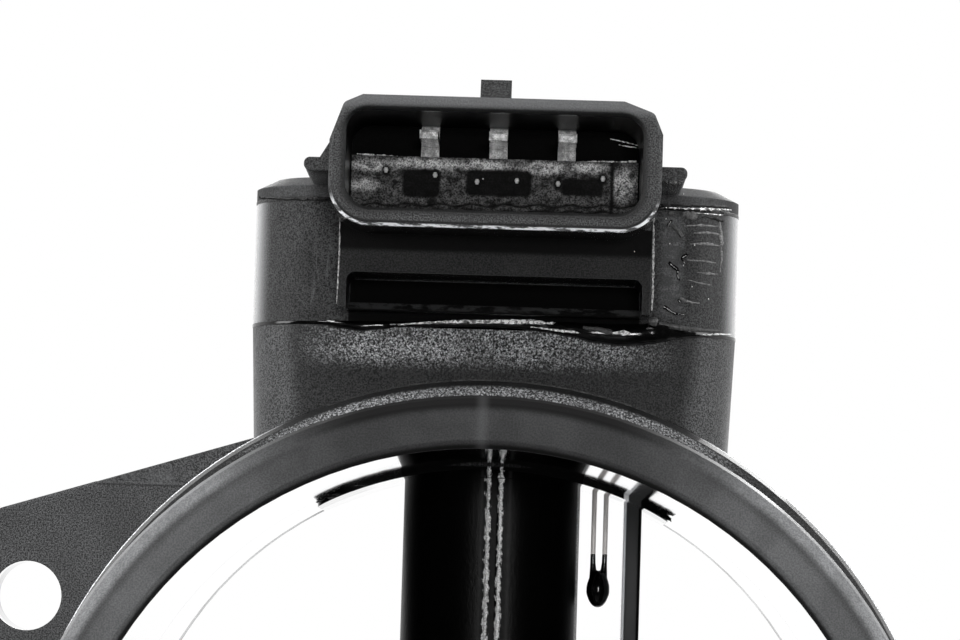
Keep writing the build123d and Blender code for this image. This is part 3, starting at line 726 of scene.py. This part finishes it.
# ridges: uneven half-round threads laid on a front face along given lines
def makeRidgeTree():
    tree = bpy.data.node_groups.new("ridges", "GeometryNodeTree")
    for label, kind, value in (
        ("Lines", "Geometry", None), ("Step", "Float", 0.1 * mm), ("Swell", "Float", 0.5),
        ("Stray", "Float", 0.1 * mm), ("Grain", "Float", 0.4 * mm), ("Depth", "Float", 0.6),
        ("Sides", "Int", 10), ("Finish", "Material", None),
    ):
        socket = tree.interface.new_socket(label, in_out="INPUT", socket_type="NodeSocket" + kind)
        if value is not None:
            socket.default_value = value
    tree.interface.new_socket("Threads", in_out="OUTPUT", socket_type="NodeSocketGeometry")
    given = tree.nodes.new("NodeGroupInput").outputs
    out = tree.nodes.new("NodeGroupOutput").inputs

    def named(label):
        return addNode(tree, "GeometryNodeInputNamedAttribute", {"Name": label}, data_type="FLOAT").outputs[0]

    def then(kind, **inputs):
        sockets = {label.replace("_", " "): value for label, value in inputs.items()}
        return addNode(tree, "GeometryNode" + kind, sockets).outputs[0]

    place = addNode(tree, "GeometryNodeInputPosition").outputs[0]
    scale = calc("DIVIDE", 1.0, given["Grain"])
    drift = addNode(tree, "ShaderNodeTexNoise", {"Vector": place, "Scale": scale, "Detail": 3.0})
    centred = addNode(tree, "ShaderNodeVectorMath", {0: drift.outputs["Color"]}, operation="SUBTRACT")
    centred.inputs[1].default_value = (0.5, 0.5, 0.5)
    moved = addNode(tree, "ShaderNodeVectorMath", {0: centred.outputs[0]}, operation="SCALE")
    feed(moved.inputs["Scale"], given["Stray"])
    lines = then("MeshToCurve", Mesh=given["Lines"])
    lines = addNode(tree, "GeometryNodeResampleCurve", {"Curve": lines, "Length": given["Step"]}, mode="LENGTH")
    lines = then("SetPosition", Geometry=lines.outputs[0], Offset=moved.outputs[0])
    swell = times(minus(drift.outputs[0], 0.5), given["Swell"])
    girth = times(named("girth"), plus(1.0, times(swell, 4.0)))
    girth = calc("MAXIMUM", girth, 0.01 * mm)
    profile = then("CurvePrimitiveCircle", Resolution=given["Sides"], Radius=1.0)
    threads = then("CurveToMesh", Curve=lines, Profile_Curve=profile, Scale=girth, Fill_Caps=True)
    # pressed on the face: thinner, and flat at the back
    plane = named("plane")
    axes = addNode(tree, "ShaderNodeSeparateXYZ", {"Vector": place}).outputs
    pressed = times(minus(axes["Y"], plane), given["Depth"])
    pressed = plus(plane, calc("MINIMUM", pressed, 0.01 * mm))
    spot = addNode(tree, "ShaderNodeCombineXYZ", {"X": axes["X"], "Y": pressed, "Z": axes["Z"]})
    threads = then("SetPosition", Geometry=threads, Position=spot.outputs[0])
    threads = then("SetShadeSmooth", Geometry=threads)
    threads = then("RealizeInstances", Geometry=threads)
    threads = then("SetMaterial", Geometry=threads, Material=given["Finish"])
    feed(out[0], threads)
    return tree


ridgeTree = makeRidgeTree()


def addRidges(name, material, lines, **settings):
    # lines: the face's y, then places along the line as x, z and half width, in millimetres
    places, edges, girths, planes = [], [], [], []
    for plane, *spots in lines:
        for index, (x, z, girth) in enumerate(spots):
            if index:
                edges.append((len(places) - 1, len(places)))
            places.append((x * mm, plane * mm, z * mm))
            girths.append(girth * mm)
            planes.append(plane * mm)
    mesh = bpy.data.meshes.new(name + "Lines")
    mesh.from_pydata(places, edges, [])
    for label, values in (("girth", girths), ("plane", planes)):
        mesh.attributes.new(label, "FLOAT", "POINT").data.foreach_set("value", values)
    made = newObject(name, mesh)
    modifier = made.modifiers.new("ridges", "NODES")
    modifier.node_group = ridgeTree
    values = {"Finish": material, **settings}
    for item in ridgeTree.interface.items_tree:
        if item.in_out == "INPUT" and item.name in values:
            modifier[item.identifier] = values[item.name]
    result = settle(made)
    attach(made, "root")
    print(name, len(result.polygons), "faces")


def onFace(plane, lines):
    return [(plane, *line) for line in lines]


def outlineWalk(half, front, back, corner, step):  # stations round the module: place, outward direction
    low, high = front + corner, back - corner
    walk = []
    sides = [((-half + corner, front), (1, 0), 2 * (half - corner), (0, -1)),
             ((half, low), (0, 1), high - low, (1, 0)),
             ((half - corner, back), (-1, 0), 2 * (half - corner), (0, 1)),
             ((-half, high), (0, -1), high - low, (-1, 0))]
    centres = [(half - corner, low), (half - corner, high), (-half + corner, high), (-half + corner, low)]
    for (start, ahead, length, out), centre in zip(sides, centres):
        count = max(2, round(length / step))
        for index in range(count):
            along = length * index / count
            walk.append(((start[0] + ahead[0] * along, start[1] + ahead[1] * along), out))
        count = max(4, round(corner * math.pi / 2 / step))
        for index in range(count):
            turn = math.atan2(out[1], out[0]) + math.pi / 2 * index / count
            direction = (math.cos(turn), math.sin(turn))
            walk.append(((centre[0] + corner * direction[0], centre[1] + corner * direction[1]), direction))
    return walk


def readTable(table, x):  # values between the rows of a table whose first column is x
    if x <= table[0][0]:
        return table[0][1:]
    for before, after in zip(table, table[1:]):
        if x <= after[0]:
            part = (x - before[0]) / (after[0] - before[0])
            part = part * part * (3 - 2 * part)
            return tuple(a + (b - a) * part for a, b in zip(before[1:], after[1:]))
    return table[-1][1:]


def addSeam(name, material, table, ragged):
    # a bead of adhesive all round a joint; the table gives x, top, bottom and reach along the front
    walk = outlineWalk(*moduleOutline, ragged["step"])
    form = bmesh.new()
    rings = []
    for (x, y), (outX, outY) in walk:
        onFront = outY < -0.5
        top, bottom, reach = readTable(table, x) if onFront else ragged["elsewhere"]
        wave = noise.fractal(Vector((x, y, 0.0)) / ragged["grain"], 0.8, 2.0, 3)
        squeezed = min(1.0, reach * 4)  # where the bead hardly comes out, it is even
        top += ragged["stray"] * 0.5 * wave * squeezed
        bottom += ragged["stray"] * 0.3 * noise.noise(Vector((x, y, 9.0)) / ragged["grain"]) * squeezed
        reach *= 1 + ragged["swell"] * noise.noise(Vector((x, y, 5.0)) / ragged["grain"])
        ring = []
        for index in range(ragged["sides"] + 1):
            turn = math.pi * index / ragged["sides"]
            out = reach * math.sin(turn) ** 0.7 if 0 < index < ragged["sides"] else 0.0
            height = (top + bottom) / 2 + (top - bottom) / 2 * math.cos(turn)
            ring.append(form.verts.new(((x + outX * out) * mm, (y + outY * out) * mm, height * mm)))
        for height in (bottom, top):  # the back, inside the joint
            ring.append(form.verts.new(((x - outX * 0.4) * mm, (y - outY * 0.4) * mm, height * mm)))
        rings.append(ring)
    for before, after in zip(rings, rings[1:] + rings[:1]):
        for index in range(len(before)):
            following = (index + 1) % len(before)
            form.faces.new((before[index], after[index], after[following], before[following]))
    bmesh.ops.recalc_face_normals(form, faces=form.faces)
    mesh = bpy.data.meshes.new(name)
    form.to_mesh(mesh)
    form.free()
    mesh.shade_smooth()
    made = newObject(name, mesh, material)
    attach(made, "root")
    print(name, len(mesh.polygons), "faces")
    return made


# joint between module and boss: the black adhesive is squeezed out at the front
moduleOutline = (22.65, -31.0, -2.0, 7.5)  # half width, front, back, corner
joint = {
    "ragged": {"step": 0.2, "sides": 16, "grain": 2.5, "stray": 0.06, "swell": 0.1,
               "elsewhere": (47.62, 47.28, 0.03)},
    "front": (  # x, top, bottom, reach
        (-22.6, 47.63, 47.3, 0.03), (-17.4, 47.64, 47.35, 0.05), (-15.9, 47.7, 47.3, 0.2), (-14.1, 47.72, 47.0, 0.5),
        (-12.2, 47.74, 46.78, 0.6), (-10.4, 47.78, 46.98, 0.5), (-8.6, 47.8, 47.3, 0.25), (-4.9, 48.0, 47.4, 0.25),
        (-1.2, 48.2, 47.5, 0.3), (2.4, 48.3, 47.45, 0.35), (4.7, 48.25, 47.2, 0.5), (7.0, 48.2, 46.8, 0.75),
        (9.4, 48.15, 46.33, 0.95), (11.6, 48.15, 46.1, 1.0), (13.5, 48.2, 46.22, 1.0), (14.7, 48.4, 46.4, 0.9),
        (15.6, 48.35, 46.6, 0.7), (16.8, 48.05, 46.9, 0.45), (18.4, 47.9, 47.1, 0.3), (19.6, 47.78, 47.22, 0.15),
        (21.2, 47.64, 47.3, 0.05), (22.6, 47.62, 47.3, 0.03)),
    "bright": (  # painted highlights on the wet adhesive, laid as threads: y, then x, z and half width
        (-31.3, (-8.8, 47.5, 0.05), (-4.9, 47.86, 0.12), (-1.2, 48.05, 0.13), (1.2, 48.14, 0.1), (2.9, 48.2, 0.14),
         (4.6, 48.14, 0.08)),
        (-31.3, (-2.2, 47.85, 0.04), (0.5, 47.95, 0.09), (2.6, 47.95, 0.13), (4.9, 47.85, 0.06)),
        (-31.4, (2.2, 48.08, 0.05), (4.2, 48.0, 0.14), (6.1, 47.95, 0.16), (8.6, 47.84, 0.08)),
        (-31.75, (3.4, 47.6, 0.04), (5.4, 47.42, 0.08), (7.2, 47.24, 0.13), (9.1, 47.08, 0.06)),
        (-32.0, (10.9, 47.22, 0.08), (11.7, 47.26, 0.24), (12.4, 47.28, 0.18), (12.9, 47.26, 0.05)),
        (-31.1, (19.3, 47.44, 0.04), (20.4, 47.48, 0.07), (22.0, 47.5, 0.06)),
        (-31.35, (-15.4, 47.62, 0.05), (-12.3, 47.5, 0.07), (-9.0, 47.5, 0.05)),
    ),
    "dull": (  # grey smear, and the round lump at its start
        (-31.85, (8.2, 47.7, 0.1), (9.6, 47.55, 0.28), (10.9, 47.3, 0.2)),
        (-31.9, (14.25, 48.42, 0.3), (14.6, 48.42, 0.42), (15.0, 48.3, 0.3)),
        (-31.3, (15.2, 48.25, 0.2), (17.1, 47.95, 0.25), (19.0, 47.8, 0.2), (20.8, 47.75, 0.1)),
    ),
}


def makeJoint():
    wet = finishes["black_adhesive"]
    # painted highlights on the wet adhesive
    bright = flatMaterial("adhesiveHighlight", 225, 0.35, spread=0.8, size=0.3, depth=0.06)
    dull = flatMaterial("greyAdhesive", 74, 0.4)
    seam = addSeam("jointSqueeze", wet, joint["front"], joint["ragged"])
    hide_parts("joint_sealant")
    addRidges("jointGlints", bright, joint["bright"], Swell=0.7, Stray=0.16 * mm, Grain=0.7 * mm, Depth=0.6)
    addRidges("jointSmear", dull, joint["dull"], Swell=0.3, Stray=0.15 * mm, Grain=0.6 * mm, Depth=0.9)


makeJoint()

# seam under the lid: rough and dark at the left, beaded at the right
lidSeam = {
    "ragged": {"step": 0.15, "sides": 6, "grain": 0.35, "stray": 0.25, "swell": 0.5,
               "elsewhere": (59.14, 58.8, 0.04)},
    "front": ((-22.6, 59.14, 58.8, 0.06), (-15.5, 59.14, 58.8, 0.1), (14.0, 59.14, 58.8, 0.1),
              (15.0, 59.2, 58.8, 0.25), (20.6, 59.2, 58.8, 0.28), (22.6, 59.14, 58.8, 0.1)),
    "bright": (
        (-31.2, (15.3, 59.02, 0.05), (17.8, 59.0, 0.08), (20.5, 59.0, 0.1), (21.6, 59.0, 0.05)),
        (-31.2, (18.3, 58.62, 0.03), (20.9, 58.5, 0.06)),
    ),
    "dark": (
        (-31.1, (-22.0, 58.85, 0.08), (-20.0, 58.8, 0.12), (-17.5, 58.84, 0.1), (-15.2, 58.8, 0.1)),
        (-31.15, (14.9, 59.2, 0.12), (17.2, 59.3, 0.08), (19.4, 59.3, 0.12), (21.4, 59.2, 0.08)),
        (-31.1, (18.7, 58.2, 0.05), (19.2, 58.3, 0.1), (20.0, 58.15, 0.12), (20.9, 57.95, 0.12)),
    ),
    "tabs": (
        (-31.15, (15.8, 58.5, 0.2), (16.3, 58.5, 0.3)),
        (-31.15, (17.1, 58.45, 0.3), (18.0, 58.3, 0.45), (18.5, 58.2, 0.25)),
        (-31.15, (16.2, 57.4, 0.15), (16.7, 57.0, 0.22), (17.1, 56.4, 0.15)),
    ),
}


def makeLidSeam():
    dark = flatMaterial("darkSealant", 10, 0.35, depth=0.08)
    seam = addSeam("lidBead", dark, lidSeam["front"], lidSeam["ragged"])
    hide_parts("lid_sealant")
    # painted highlights on the bead at the right
    addRidges("lidGlints", bpy.data.materials["adhesiveHighlight"], lidSeam["bright"],
              Swell=1.3, Grain=0.22 * mm, Depth=0.9)
    addRidges("lidCrumbs", dark, lidSeam["dark"], Swell=0.9, Stray=0.3 * mm, Grain=0.3 * mm, Depth=0.7)
    addRidges("lidTabs", bpy.data.materials["greyAdhesive"], lidSeam["tabs"], Swell=0.4, Stray=0.3 * mm, Depth=0.5)


makeLidSeam()

# adhesive wiped over the right front face
smears = {  # x, z and half width along each line
    "front": -31.02,
    "ridges": (
        ((17.3, 57.4, 0.05), (19.0, 57.5, 0.12), (20.5, 57.45, 0.06)),
        ((18.2, 56.75, 0.05), (19.4, 56.85, 0.14), (20.6, 56.7, 0.08)),
        ((17.9, 55.75, 0.05), (19.5, 55.8, 0.16), (20.6, 55.65, 0.08)),
        ((17.6, 54.25, 0.04), (19.2, 54.2, 0.1), (20.3, 54.05, 0.06)),
        ((18.6, 53.15, 0.04), (19.5, 53.05, 0.12), (20.5, 53.0, 0.06)),
        ((17.8, 52.4, 0.03), (19.0, 52.15, 0.07), (20.0, 52.0, 0.04)),
        ((17.1, 50.75, 0.05), (17.5, 50.5, 0.14), (18.2, 50.35, 0.1), (18.9, 50.3, 0.05)),
    ),
    "edge": (((20.5, 58.1, 0.06), (20.7, 56.6, 0.16), (20.75, 55.6, 0.2), (20.8, 54.8, 0.08), (20.7, 53.2, 0.04)),),
    "chips": (
        ((15.95, 54.0, 0.12), (16.4, 53.6, 0.22), (16.9, 53.2, 0.1)),
        ((16.75, 53.2, 0.1), (16.9, 52.6, 0.14), (17.0, 52.3, 0.05)),
        ((17.6, 54.8, 0.12), (17.2, 54.4, 0.18), (17.5, 53.9, 0.1)),
        ((16.1, 57.9, 0.1), (15.8, 57.3, 0.16)),
        ((16.9, 50.6, 0.12), (17.1, 50.35, 0.1)),
        ((15.6, 49.9, 0.2), (16.6, 49.3, 0.12), (17.5, 49.2, 0.08)),
    ),
    "specks": {  # x and z of each, under its y
        -31.02: ((18.3, 55.65), (17.3, 53.75), (18.15, 51.8), (19.7, 50.7), (16.0, 55.7), (18.75, 58.9), (15.6, 58.0),
                 (9.1, 46.0)),
        -37.52: ((16.9, 59.7), (12.6, 54.3)),
    },
}


def makeSmears():
    front = smears["front"]
    glossy = flatMaterial("wipedAdhesive", 108, 0.3, spread=0.4, depth=0.05)
    addRidges("wipedRidges", glossy, onFace(front, smears["ridges"]), Swell=0.5, Stray=0.12 * mm, Depth=0.6)
    addRidges("wipedEdge", glossy, onFace(front, smears["edge"]),
              Swell=1.0, Stray=0.3 * mm, Grain=0.3 * mm, Depth=0.7)
    addRidges("wipedChips", finishes["black_adhesive"], onFace(front, smears["chips"]),
              Swell=0.4, Stray=0.25 * mm, Depth=0.35)
    dots = [(y, (x - 0.03, z, 0.06), (x + 0.03, z, 0.07)) for y, spots in smears["specks"].items() for x, z in spots]
    bright = flatMaterial("brightSpecks", 250, 0.2)
    addRidges("specks", bright, dots, Swell=0.2, Step=0.03 * mm, Depth=0.8)


makeSmears()

# nodules along the upright edges of the block
blockEdges = {
    "front": -37.5,
    "nodules": (
        ((14.25, 57.6, 0.05), (14.3, 54.0, 0.09), (14.35, 50.6, 0.1), (14.3, 49.0, 0.05)),
        ((-14.15, 56.6, 0.05), (-14.1, 53.5, 0.07), (-14.15, 51.0, 0.06), (-14.2, 48.8, 0.04)),
    ),
}


def makeBlockEdges():
    nodules = onFace(blockEdges["front"], blockEdges["nodules"])
    addRidges("blockNodules", flatMaterial("paleFlash", 150, 0.4, spread=0.6), nodules,
              Swell=0.8, Stray=0.12 * mm, Grain=0.35 * mm, Depth=0.5)


makeBlockEdges()
print("adhesive and flash made")

# rough filling over the connector's ledge, with the metal tips that stand out of it
ledge = {
    "x": (-13.35, 12.8),
    "z": (57.15, 62.62),
    "y": -35.02,
    "step": 0.09,
    # pockets and places of painted light: centre x and z, half x and z; a pocket has its corner too
    "pockets": ((-6.95, 60.2, 1.65, 1.25, 0.5), (0.1, 60.4, 2.95, 1.15, 0.5), (7.75, 60.25, 1.85, 0.75, 0.3)),
    "lit": ((-11.6, 61.7, 1.9, 0.5), (-12.1, 59.9, 1.2, 0.5), (-6.3, 61.95, 3.4, 0.5), (-1.6, 62.0, 2.4, 0.45),
            (4.2, 61.9, 2.0, 0.55), (8.3, 62.0, 1.6, 0.45), (11.6, 60.5, 1.1, 1.3)),
    "tips": ((-10.2, 61.3), (-5.7, 60.97), (-1.87, 60.45), (1.77, 60.64), (5.52, 60.48), (9.6, 61.06)),
    "crack": 10.45,
    "sills": (57.75, 58.35),
    "skin": {"thickness": 0.16, "lumps": 0.1, "crust": 0.2, "brim": 0.07},  # heights; the brim is round the pockets
    "speck": ((-1.33, 60.7, 0.07), (-1.33, 60.78, 0.08)),
    "edge": (  # painted highlight threads along the edges: y, then x, z and half width
        (-35.0, (-12.9, 62.75, 0.05), (-11.3, 62.66, 0.1), (-9.0, 62.6, 0.05)),
        (-35.0, (-9.0, 62.6, 0.05), (-7.2, 62.58, 0.05)),
        (-35.0, (7.6, 62.62, 0.04), (9.4, 62.66, 0.08), (11.2, 62.7, 0.06), (12.6, 62.8, 0.1)),
        (-33.32, (10.2, 65.0, 0.03), (11.5, 64.75, 0.06), (12.8, 64.45, 0.03)),
        (-33.32, (11.0, 64.45, 0.03), (12.2, 64.3, 0.05), (12.9, 64.2, 0.03)),
    ),
}


def boxAway(x, z, centreX, centreZ, halfX, halfZ, corner):  # distance outside a rounded box
    outX, outZ = abs(x - centreX) - halfX + corner, abs(z - centreZ) - halfZ + corner
    return math.hypot(max(outX, 0), max(outZ, 0)) + min(max(outX, outZ), 0) - corner


def smooth(value, low, high):
    part = min(1.0, max(0.0, (value - low) / (high - low)))
    return part * part * (3 - 2 * part)


def crustAt(x, z):  # height of the filling over the ledge, and how much light its skin takes: painted light and painted shade
    away = min(boxAway(x, z, *pocket) for pocket in ledge["pockets"])
    tips = min(math.hypot(x - tipX, (z - tipZ) * 0.7) for tipX, tipZ in ledge["tips"])
    sill = min(abs(z - level - 0.12 * math.sin(x * 2.1) - 0.02 * x) for level in ledge["sills"])
    low = ledge["z"][0]
    lumps = noise.fractal(Vector((x * 0.9, 3.0, z * 1.3)), 0.7, 2.1, 5)
    crust = abs(noise.fractal(Vector((x * 2.4, 8.0, z * 2.8)), 0.8, 2.0, 4))
    skin = ledge["skin"]
    height = skin["thickness"] + skin["lumps"] * lumps + skin["crust"] * crust
    height *= smooth(away, -0.25, 0.15)
    height += skin["brim"] * smooth(-abs(away - 0.25), -0.18, 0.0)
    height *= smooth(abs(x - ledge["crack"] - 0.1 * math.sin(z * 3)), 0.02, 0.14)
    height *= smooth(sill, 0.03, 0.16)
    height *= smooth(z, low, low + 0.5)
    height *= smooth(tips, 0.2, 0.5)
    lit = max(smooth(-math.hypot((x - centreX) / halfX, (z - centreZ) / halfZ), -1.5, -0.3)
              for centreX, centreZ, halfX, halfZ in ledge["lit"])
    # painted shade in the pockets, the crack and the sills, and darker round the tips and at the foot
    unshaded = smooth(away, -0.1, 0.2) * smooth(tips, 0.25, 0.6) * smooth(z, low + 0.3, low + 1.2)
    unshaded *= smooth(sill, 0.0, 0.2) * smooth(abs(x - ledge["crack"]), 0.05, 0.3)
    return max(height, 0.0), (0.14 + 0.86 * lit) * (0.04 + 0.96 * unshaded)


def makeCrust():
    material, shader, place = newMaterial("ledgeCrust")
    grain = useGroup(place, "mouldGrain", Size=0.16, Glints=0.5)
    blots = useGroup(place, "mouldGrain", Size=0.8, Glints=0.5)
    wiped = useGroup(place, "streaks", Stretch=(0.35, 1, 1), Scale=1600.0, Amount=0.9)
    lit = addNode(material.node_tree, "ShaderNodeAttribute", attribute_name="lit").outputs["Fac"]
    # painted light on the lit places, with painted highlight streaks in them
    value = mixValue(both(lit, mixValue(blots["Shade"], 0.1, 1.3)), tone(4), tone(215))
    value = times(value, mixValue(grain["Shade"], 0.3, 1.6))
    value = paint(value, (both(lit, wiped["Mask"], grain["Shade"]), 0.8, 245))
    dress(shader, Base_Color=tinted(value, (1, 1, 1)),
          Roughness=mixValue(lit, 0.9, 0.4),
          Normal=bump(blots["Height"], 0.08))
    return material


def makeLedge():
    (left, right), (low, top) = ledge["x"], ledge["z"]
    columns = round((right - left) / ledge["step"])
    rows = round((top - low) / ledge["step"])
    places, tones = [], []
    for row in range(rows + 1):
        for index in range(columns + 1):
            x = left + (right - left) * index / columns
            z = low + (top - low) * row / rows
            height, lit = crustAt(x, z)
            places.append((x * mm, (ledge["y"] - height) * mm, z * mm))
            tones.append(lit)
    faces = [(start, start + 1, start + columns + 2, start + columns + 1)
             for row in range(rows) for start in range(row * (columns + 1), row * (columns + 1) + columns)]
    mesh = bpy.data.meshes.new("ledgeFilling")
    mesh.from_pydata(places, [], faces)
    mesh.attributes.new("lit", "FLOAT", "POINT").data.foreach_set("value", tones)
    mesh.shade_smooth()
    made = newObject("ledgeFilling", mesh, makeCrust())
    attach(made, "root")
    print("ledge filling", len(faces), "faces")
    # the tips: their own bright metal, painted pure white as a painted highlight for their glint
    bright = flatMaterial("solderTips", 255, 0.3, spread=0.05, Coat_Weight=1.0)
    tips = [((x, z - 0.24, 0.12), (x, z, 0.24), (x, z + 0.24, 0.14)) for x, z in ledge["tips"]]
    addRidges("ledgeTips", bright, onFace(ledge["y"] - 0.3, [*tips, ledge["speck"]]),
              Swell=0.1, Step=0.05 * mm, Stray=0.0, Depth=1.2)
    # painted highlights along the ledge's edges
    addRidges("ledgeEdge", bpy.data.materials["adhesiveHighlight"], ledge["edge"],
              Swell=0.7, Stray=0.12 * mm, Grain=0.3 * mm)


makeLedge()

# temperature bead: one drop of coating that runs up both leads
bead = {
    "place": (10.5, -20.5),  # x, y
    "drop": ((22.87, 0.76), (23.15, 0.93), (23.6, 1.1), (24.0, 1.09), (24.4, 0.98), (24.75, 0.84)),  # z, radius
    # z, half spacing, radius
    "legs": ((24.8, 0.4, 0.45), (25.25, 0.47, 0.37), (25.7, 0.51, 0.31), (26.3, 0.54, 0.26), (27.1, 0.55, 0.25)),
    "between": 6,  # balls from one stop to the next
    "voxel": 0.06,
    "easing": 8,
}


def makeBead():
    centreX, centreY = bead["place"]
    form = bmesh.new()

    def ball(x, z, radius):
        turn = Matrix.Translation((x, 0.0, z))
        bmesh.ops.create_icosphere(form, subdivisions=3, radius=radius, matrix=turn)

    def run(stops):
        for before, after in zip(stops, stops[1:]):
            for part in range(bead["between"]):
                ball(*(a + (b - a) * part / bead["between"] for a, b in zip(before, after)))
        ball(*stops[-1])

    run([(0.0, z, radius) for z, radius in bead["drop"]])
    for side in (-1, 1):
        run([(side * spread, z, radius) for z, spread, radius in bead["legs"]])
    mesh = bpy.data.meshes.new("beadForm")
    form.to_mesh(mesh)
    form.free()
    made = newObject("beadCoating", mesh)
    joined = made.modifiers.new("joined", "REMESH")
    joined.mode = "VOXEL"
    joined.voxel_size = bead["voxel"]
    eased = made.modifiers.new("eased", "SMOOTH")
    eased.iterations = bead["easing"]
    result = settle(made)
    result.transform(Matrix.Translation((centreX * mm, centreY * mm, 0.0)) @ Matrix.Scale(mm, 4))
    result.materials.clear()
    result.materials.append(finishes["bead_coat"])
    result.shade_smooth()
    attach(made, "root")
    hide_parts("temperature_bead")
    print("bead coating", len(result.polygons), "faces")


makeBead()

# torn moulding flash on both ends of the plug
flash = {
    "torn": (
        (-28.62, (-15.9, 31.2, 0.05), (-15.6, 31.35, 0.18), (-14.9, 31.6, 0.22), (-13.6, 32.0, 0.08)),
        (-28.62, (-15.6, 32.1, 0.05), (-15.1, 32.0, 0.14), (-14.2, 32.3, 0.05)),
        (-28.62, (17.0, 30.2, 0.04), (16.7, 30.45, 0.16), (16.1, 30.75, 0.2), (15.0, 31.3, 0.06)),
        (-28.62, (16.75, 30.85, 0.05), (16.3, 30.9, 0.12), (15.6, 31.3, 0.05)),
    ),
}
addRidges("plugFlash", finishes["black_adhesive"], flash["torn"],
          Swell=1.0, Stray=0.35 * mm, Grain=0.3 * mm, Depth=0.9)
print("small pieces made")


studio = {
    "floorDrop": 0.2,  # millimetres below the part
    "floorSize": 2.4,  # metres
    "floorCentre": (0.0, -32.0),  # x, y in millimetres
    "floorFade": (130.0, 300.0),  # from the lit floor to the white backdrop, millimetres
    "ambient": 0.12,
    "frontRoom": 0.035,  # light that a mirror sees in front of the part; behind the part it is 1
    "roomDepth": (-0.35, 0.5),  # y of the direction over which one becomes the other
    "floorRoom": (-120.0, 60.0),  # and y on the floor, millimetres
    "lamps": {  # place, aim, width, height in metres, watts
        "topFront": ((-0.12, -0.55, 0.62), (0.0, -0.03, 0.03), 0.45, 0.30, 4.2),
        "lowFront": ((0.06, -0.80, 0.085), (0.0, -0.03, 0.03), 0.12, 0.08, 1.15),
        "leftSide": ((-0.75, -0.25, 0.25), (0.0, -0.03, 0.03), 0.35, 0.60, 3.2),
        "rightSide": ((0.75, -0.20, 0.25), (0.0, -0.03, 0.03), 0.35, 0.60, 3.2),
        "back": ((0.1, 0.8, 0.55), (0.0, -0.03, 0.03), 0.8, 0.5, 6.0),
    },
}


def makeWorld():
    world = bpy.data.worlds.new("studio")
    scene.world = world
    world.use_nodes = True
    tree = world.node_tree
    path = addNode(tree, "ShaderNodeLightPath").outputs
    direction = addNode(tree, "ShaderNodeTexCoord").outputs["Generated"]
    depth = addNode(tree, "ShaderNodeSeparateXYZ", {"Vector": direction}).outputs["Y"]
    room = mixValue(ramp(depth, *studio["roomDepth"]), studio["frontRoom"], 1.0)
    clear = either(path["Is Glossy Ray"], path["Is Transmission Ray"])
    level = mixValue(path["Is Camera Ray"], mixValue(clear, studio["ambient"], room), 1.0)
    feed(tree.nodes["Background"].inputs["Color"], tinted(level, (1, 1, 1)))


def makeLamps():
    for name, (place, aim, width, height, watts) in studio["lamps"].items():
        data = bpy.data.lights.new(name, "AREA")
        data.shape = "RECTANGLE"
        data.size = width
        data.size_y = height
        data.energy = watts
        lamp = bpy.data.objects.new(name, data)
        lamp.location = place
        lamp.rotation_euler = (Vector(aim) - Vector(place)).to_track_quat("-Z", "Y").to_euler()
        scene.collection.objects.link(lamp)


def makeFloor():  # keeps the part's shadow for the eye; mirrored, it is white behind the part and dark in front
    half = studio["floorSize"] / 2
    height = cadBox[0].z - studio["floorDrop"] * mm
    mesh = bpy.data.meshes.new("floor")
    corners = ((-half, -half), (half, -half), (half, half), (-half, half))
    mesh.from_pydata([(x, y, height) for x, y in corners], [], [(0, 1, 2, 3)])
    floor = newObject("floor", mesh)
    material, shader, place = newMaterial("paleFloor", Roughness=0.9)
    tree = material.node_tree
    cloud = addNode(tree, "ShaderNodeTexNoise", {"Vector": place, "Scale": 6.0}).outputs[0]
    feed(shader.inputs["Base Color"], mixColor(cloud, grey(238), grey(242)))
    path = addNode(tree, "ShaderNodeLightPath").outputs
    x, y = partAxes(place)[:2]
    room = mixValue(ramp(y, *studio["floorRoom"]), studio["frontRoom"], 1.0)
    seen = path["Is Camera Ray"]
    far = both(seen, ramp(distanceTo(x, y, studio["floorCentre"]), *studio["floorFade"]))
    white = addNode(tree, "ShaderNodeEmission", {"Color": tinted(mixValue(seen, room, 1.0), (1, 1, 1))})
    clear = either(path["Is Glossy Ray"], path["Is Transmission Ray"], far)
    mix = addNode(tree, "ShaderNodeMixShader", {"Fac": clear})
    feed(mix.inputs[1], shader.outputs[0])
    feed(mix.inputs[2], white.outputs[0])
    feed(tree.nodes["Material Output"].inputs["Surface"], mix.outputs[0])
    mesh.materials.append(material)


makeWorld()
makeLamps()
makeFloor()
scene.view_settings.view_transform = "Standard"
print("studio ready")
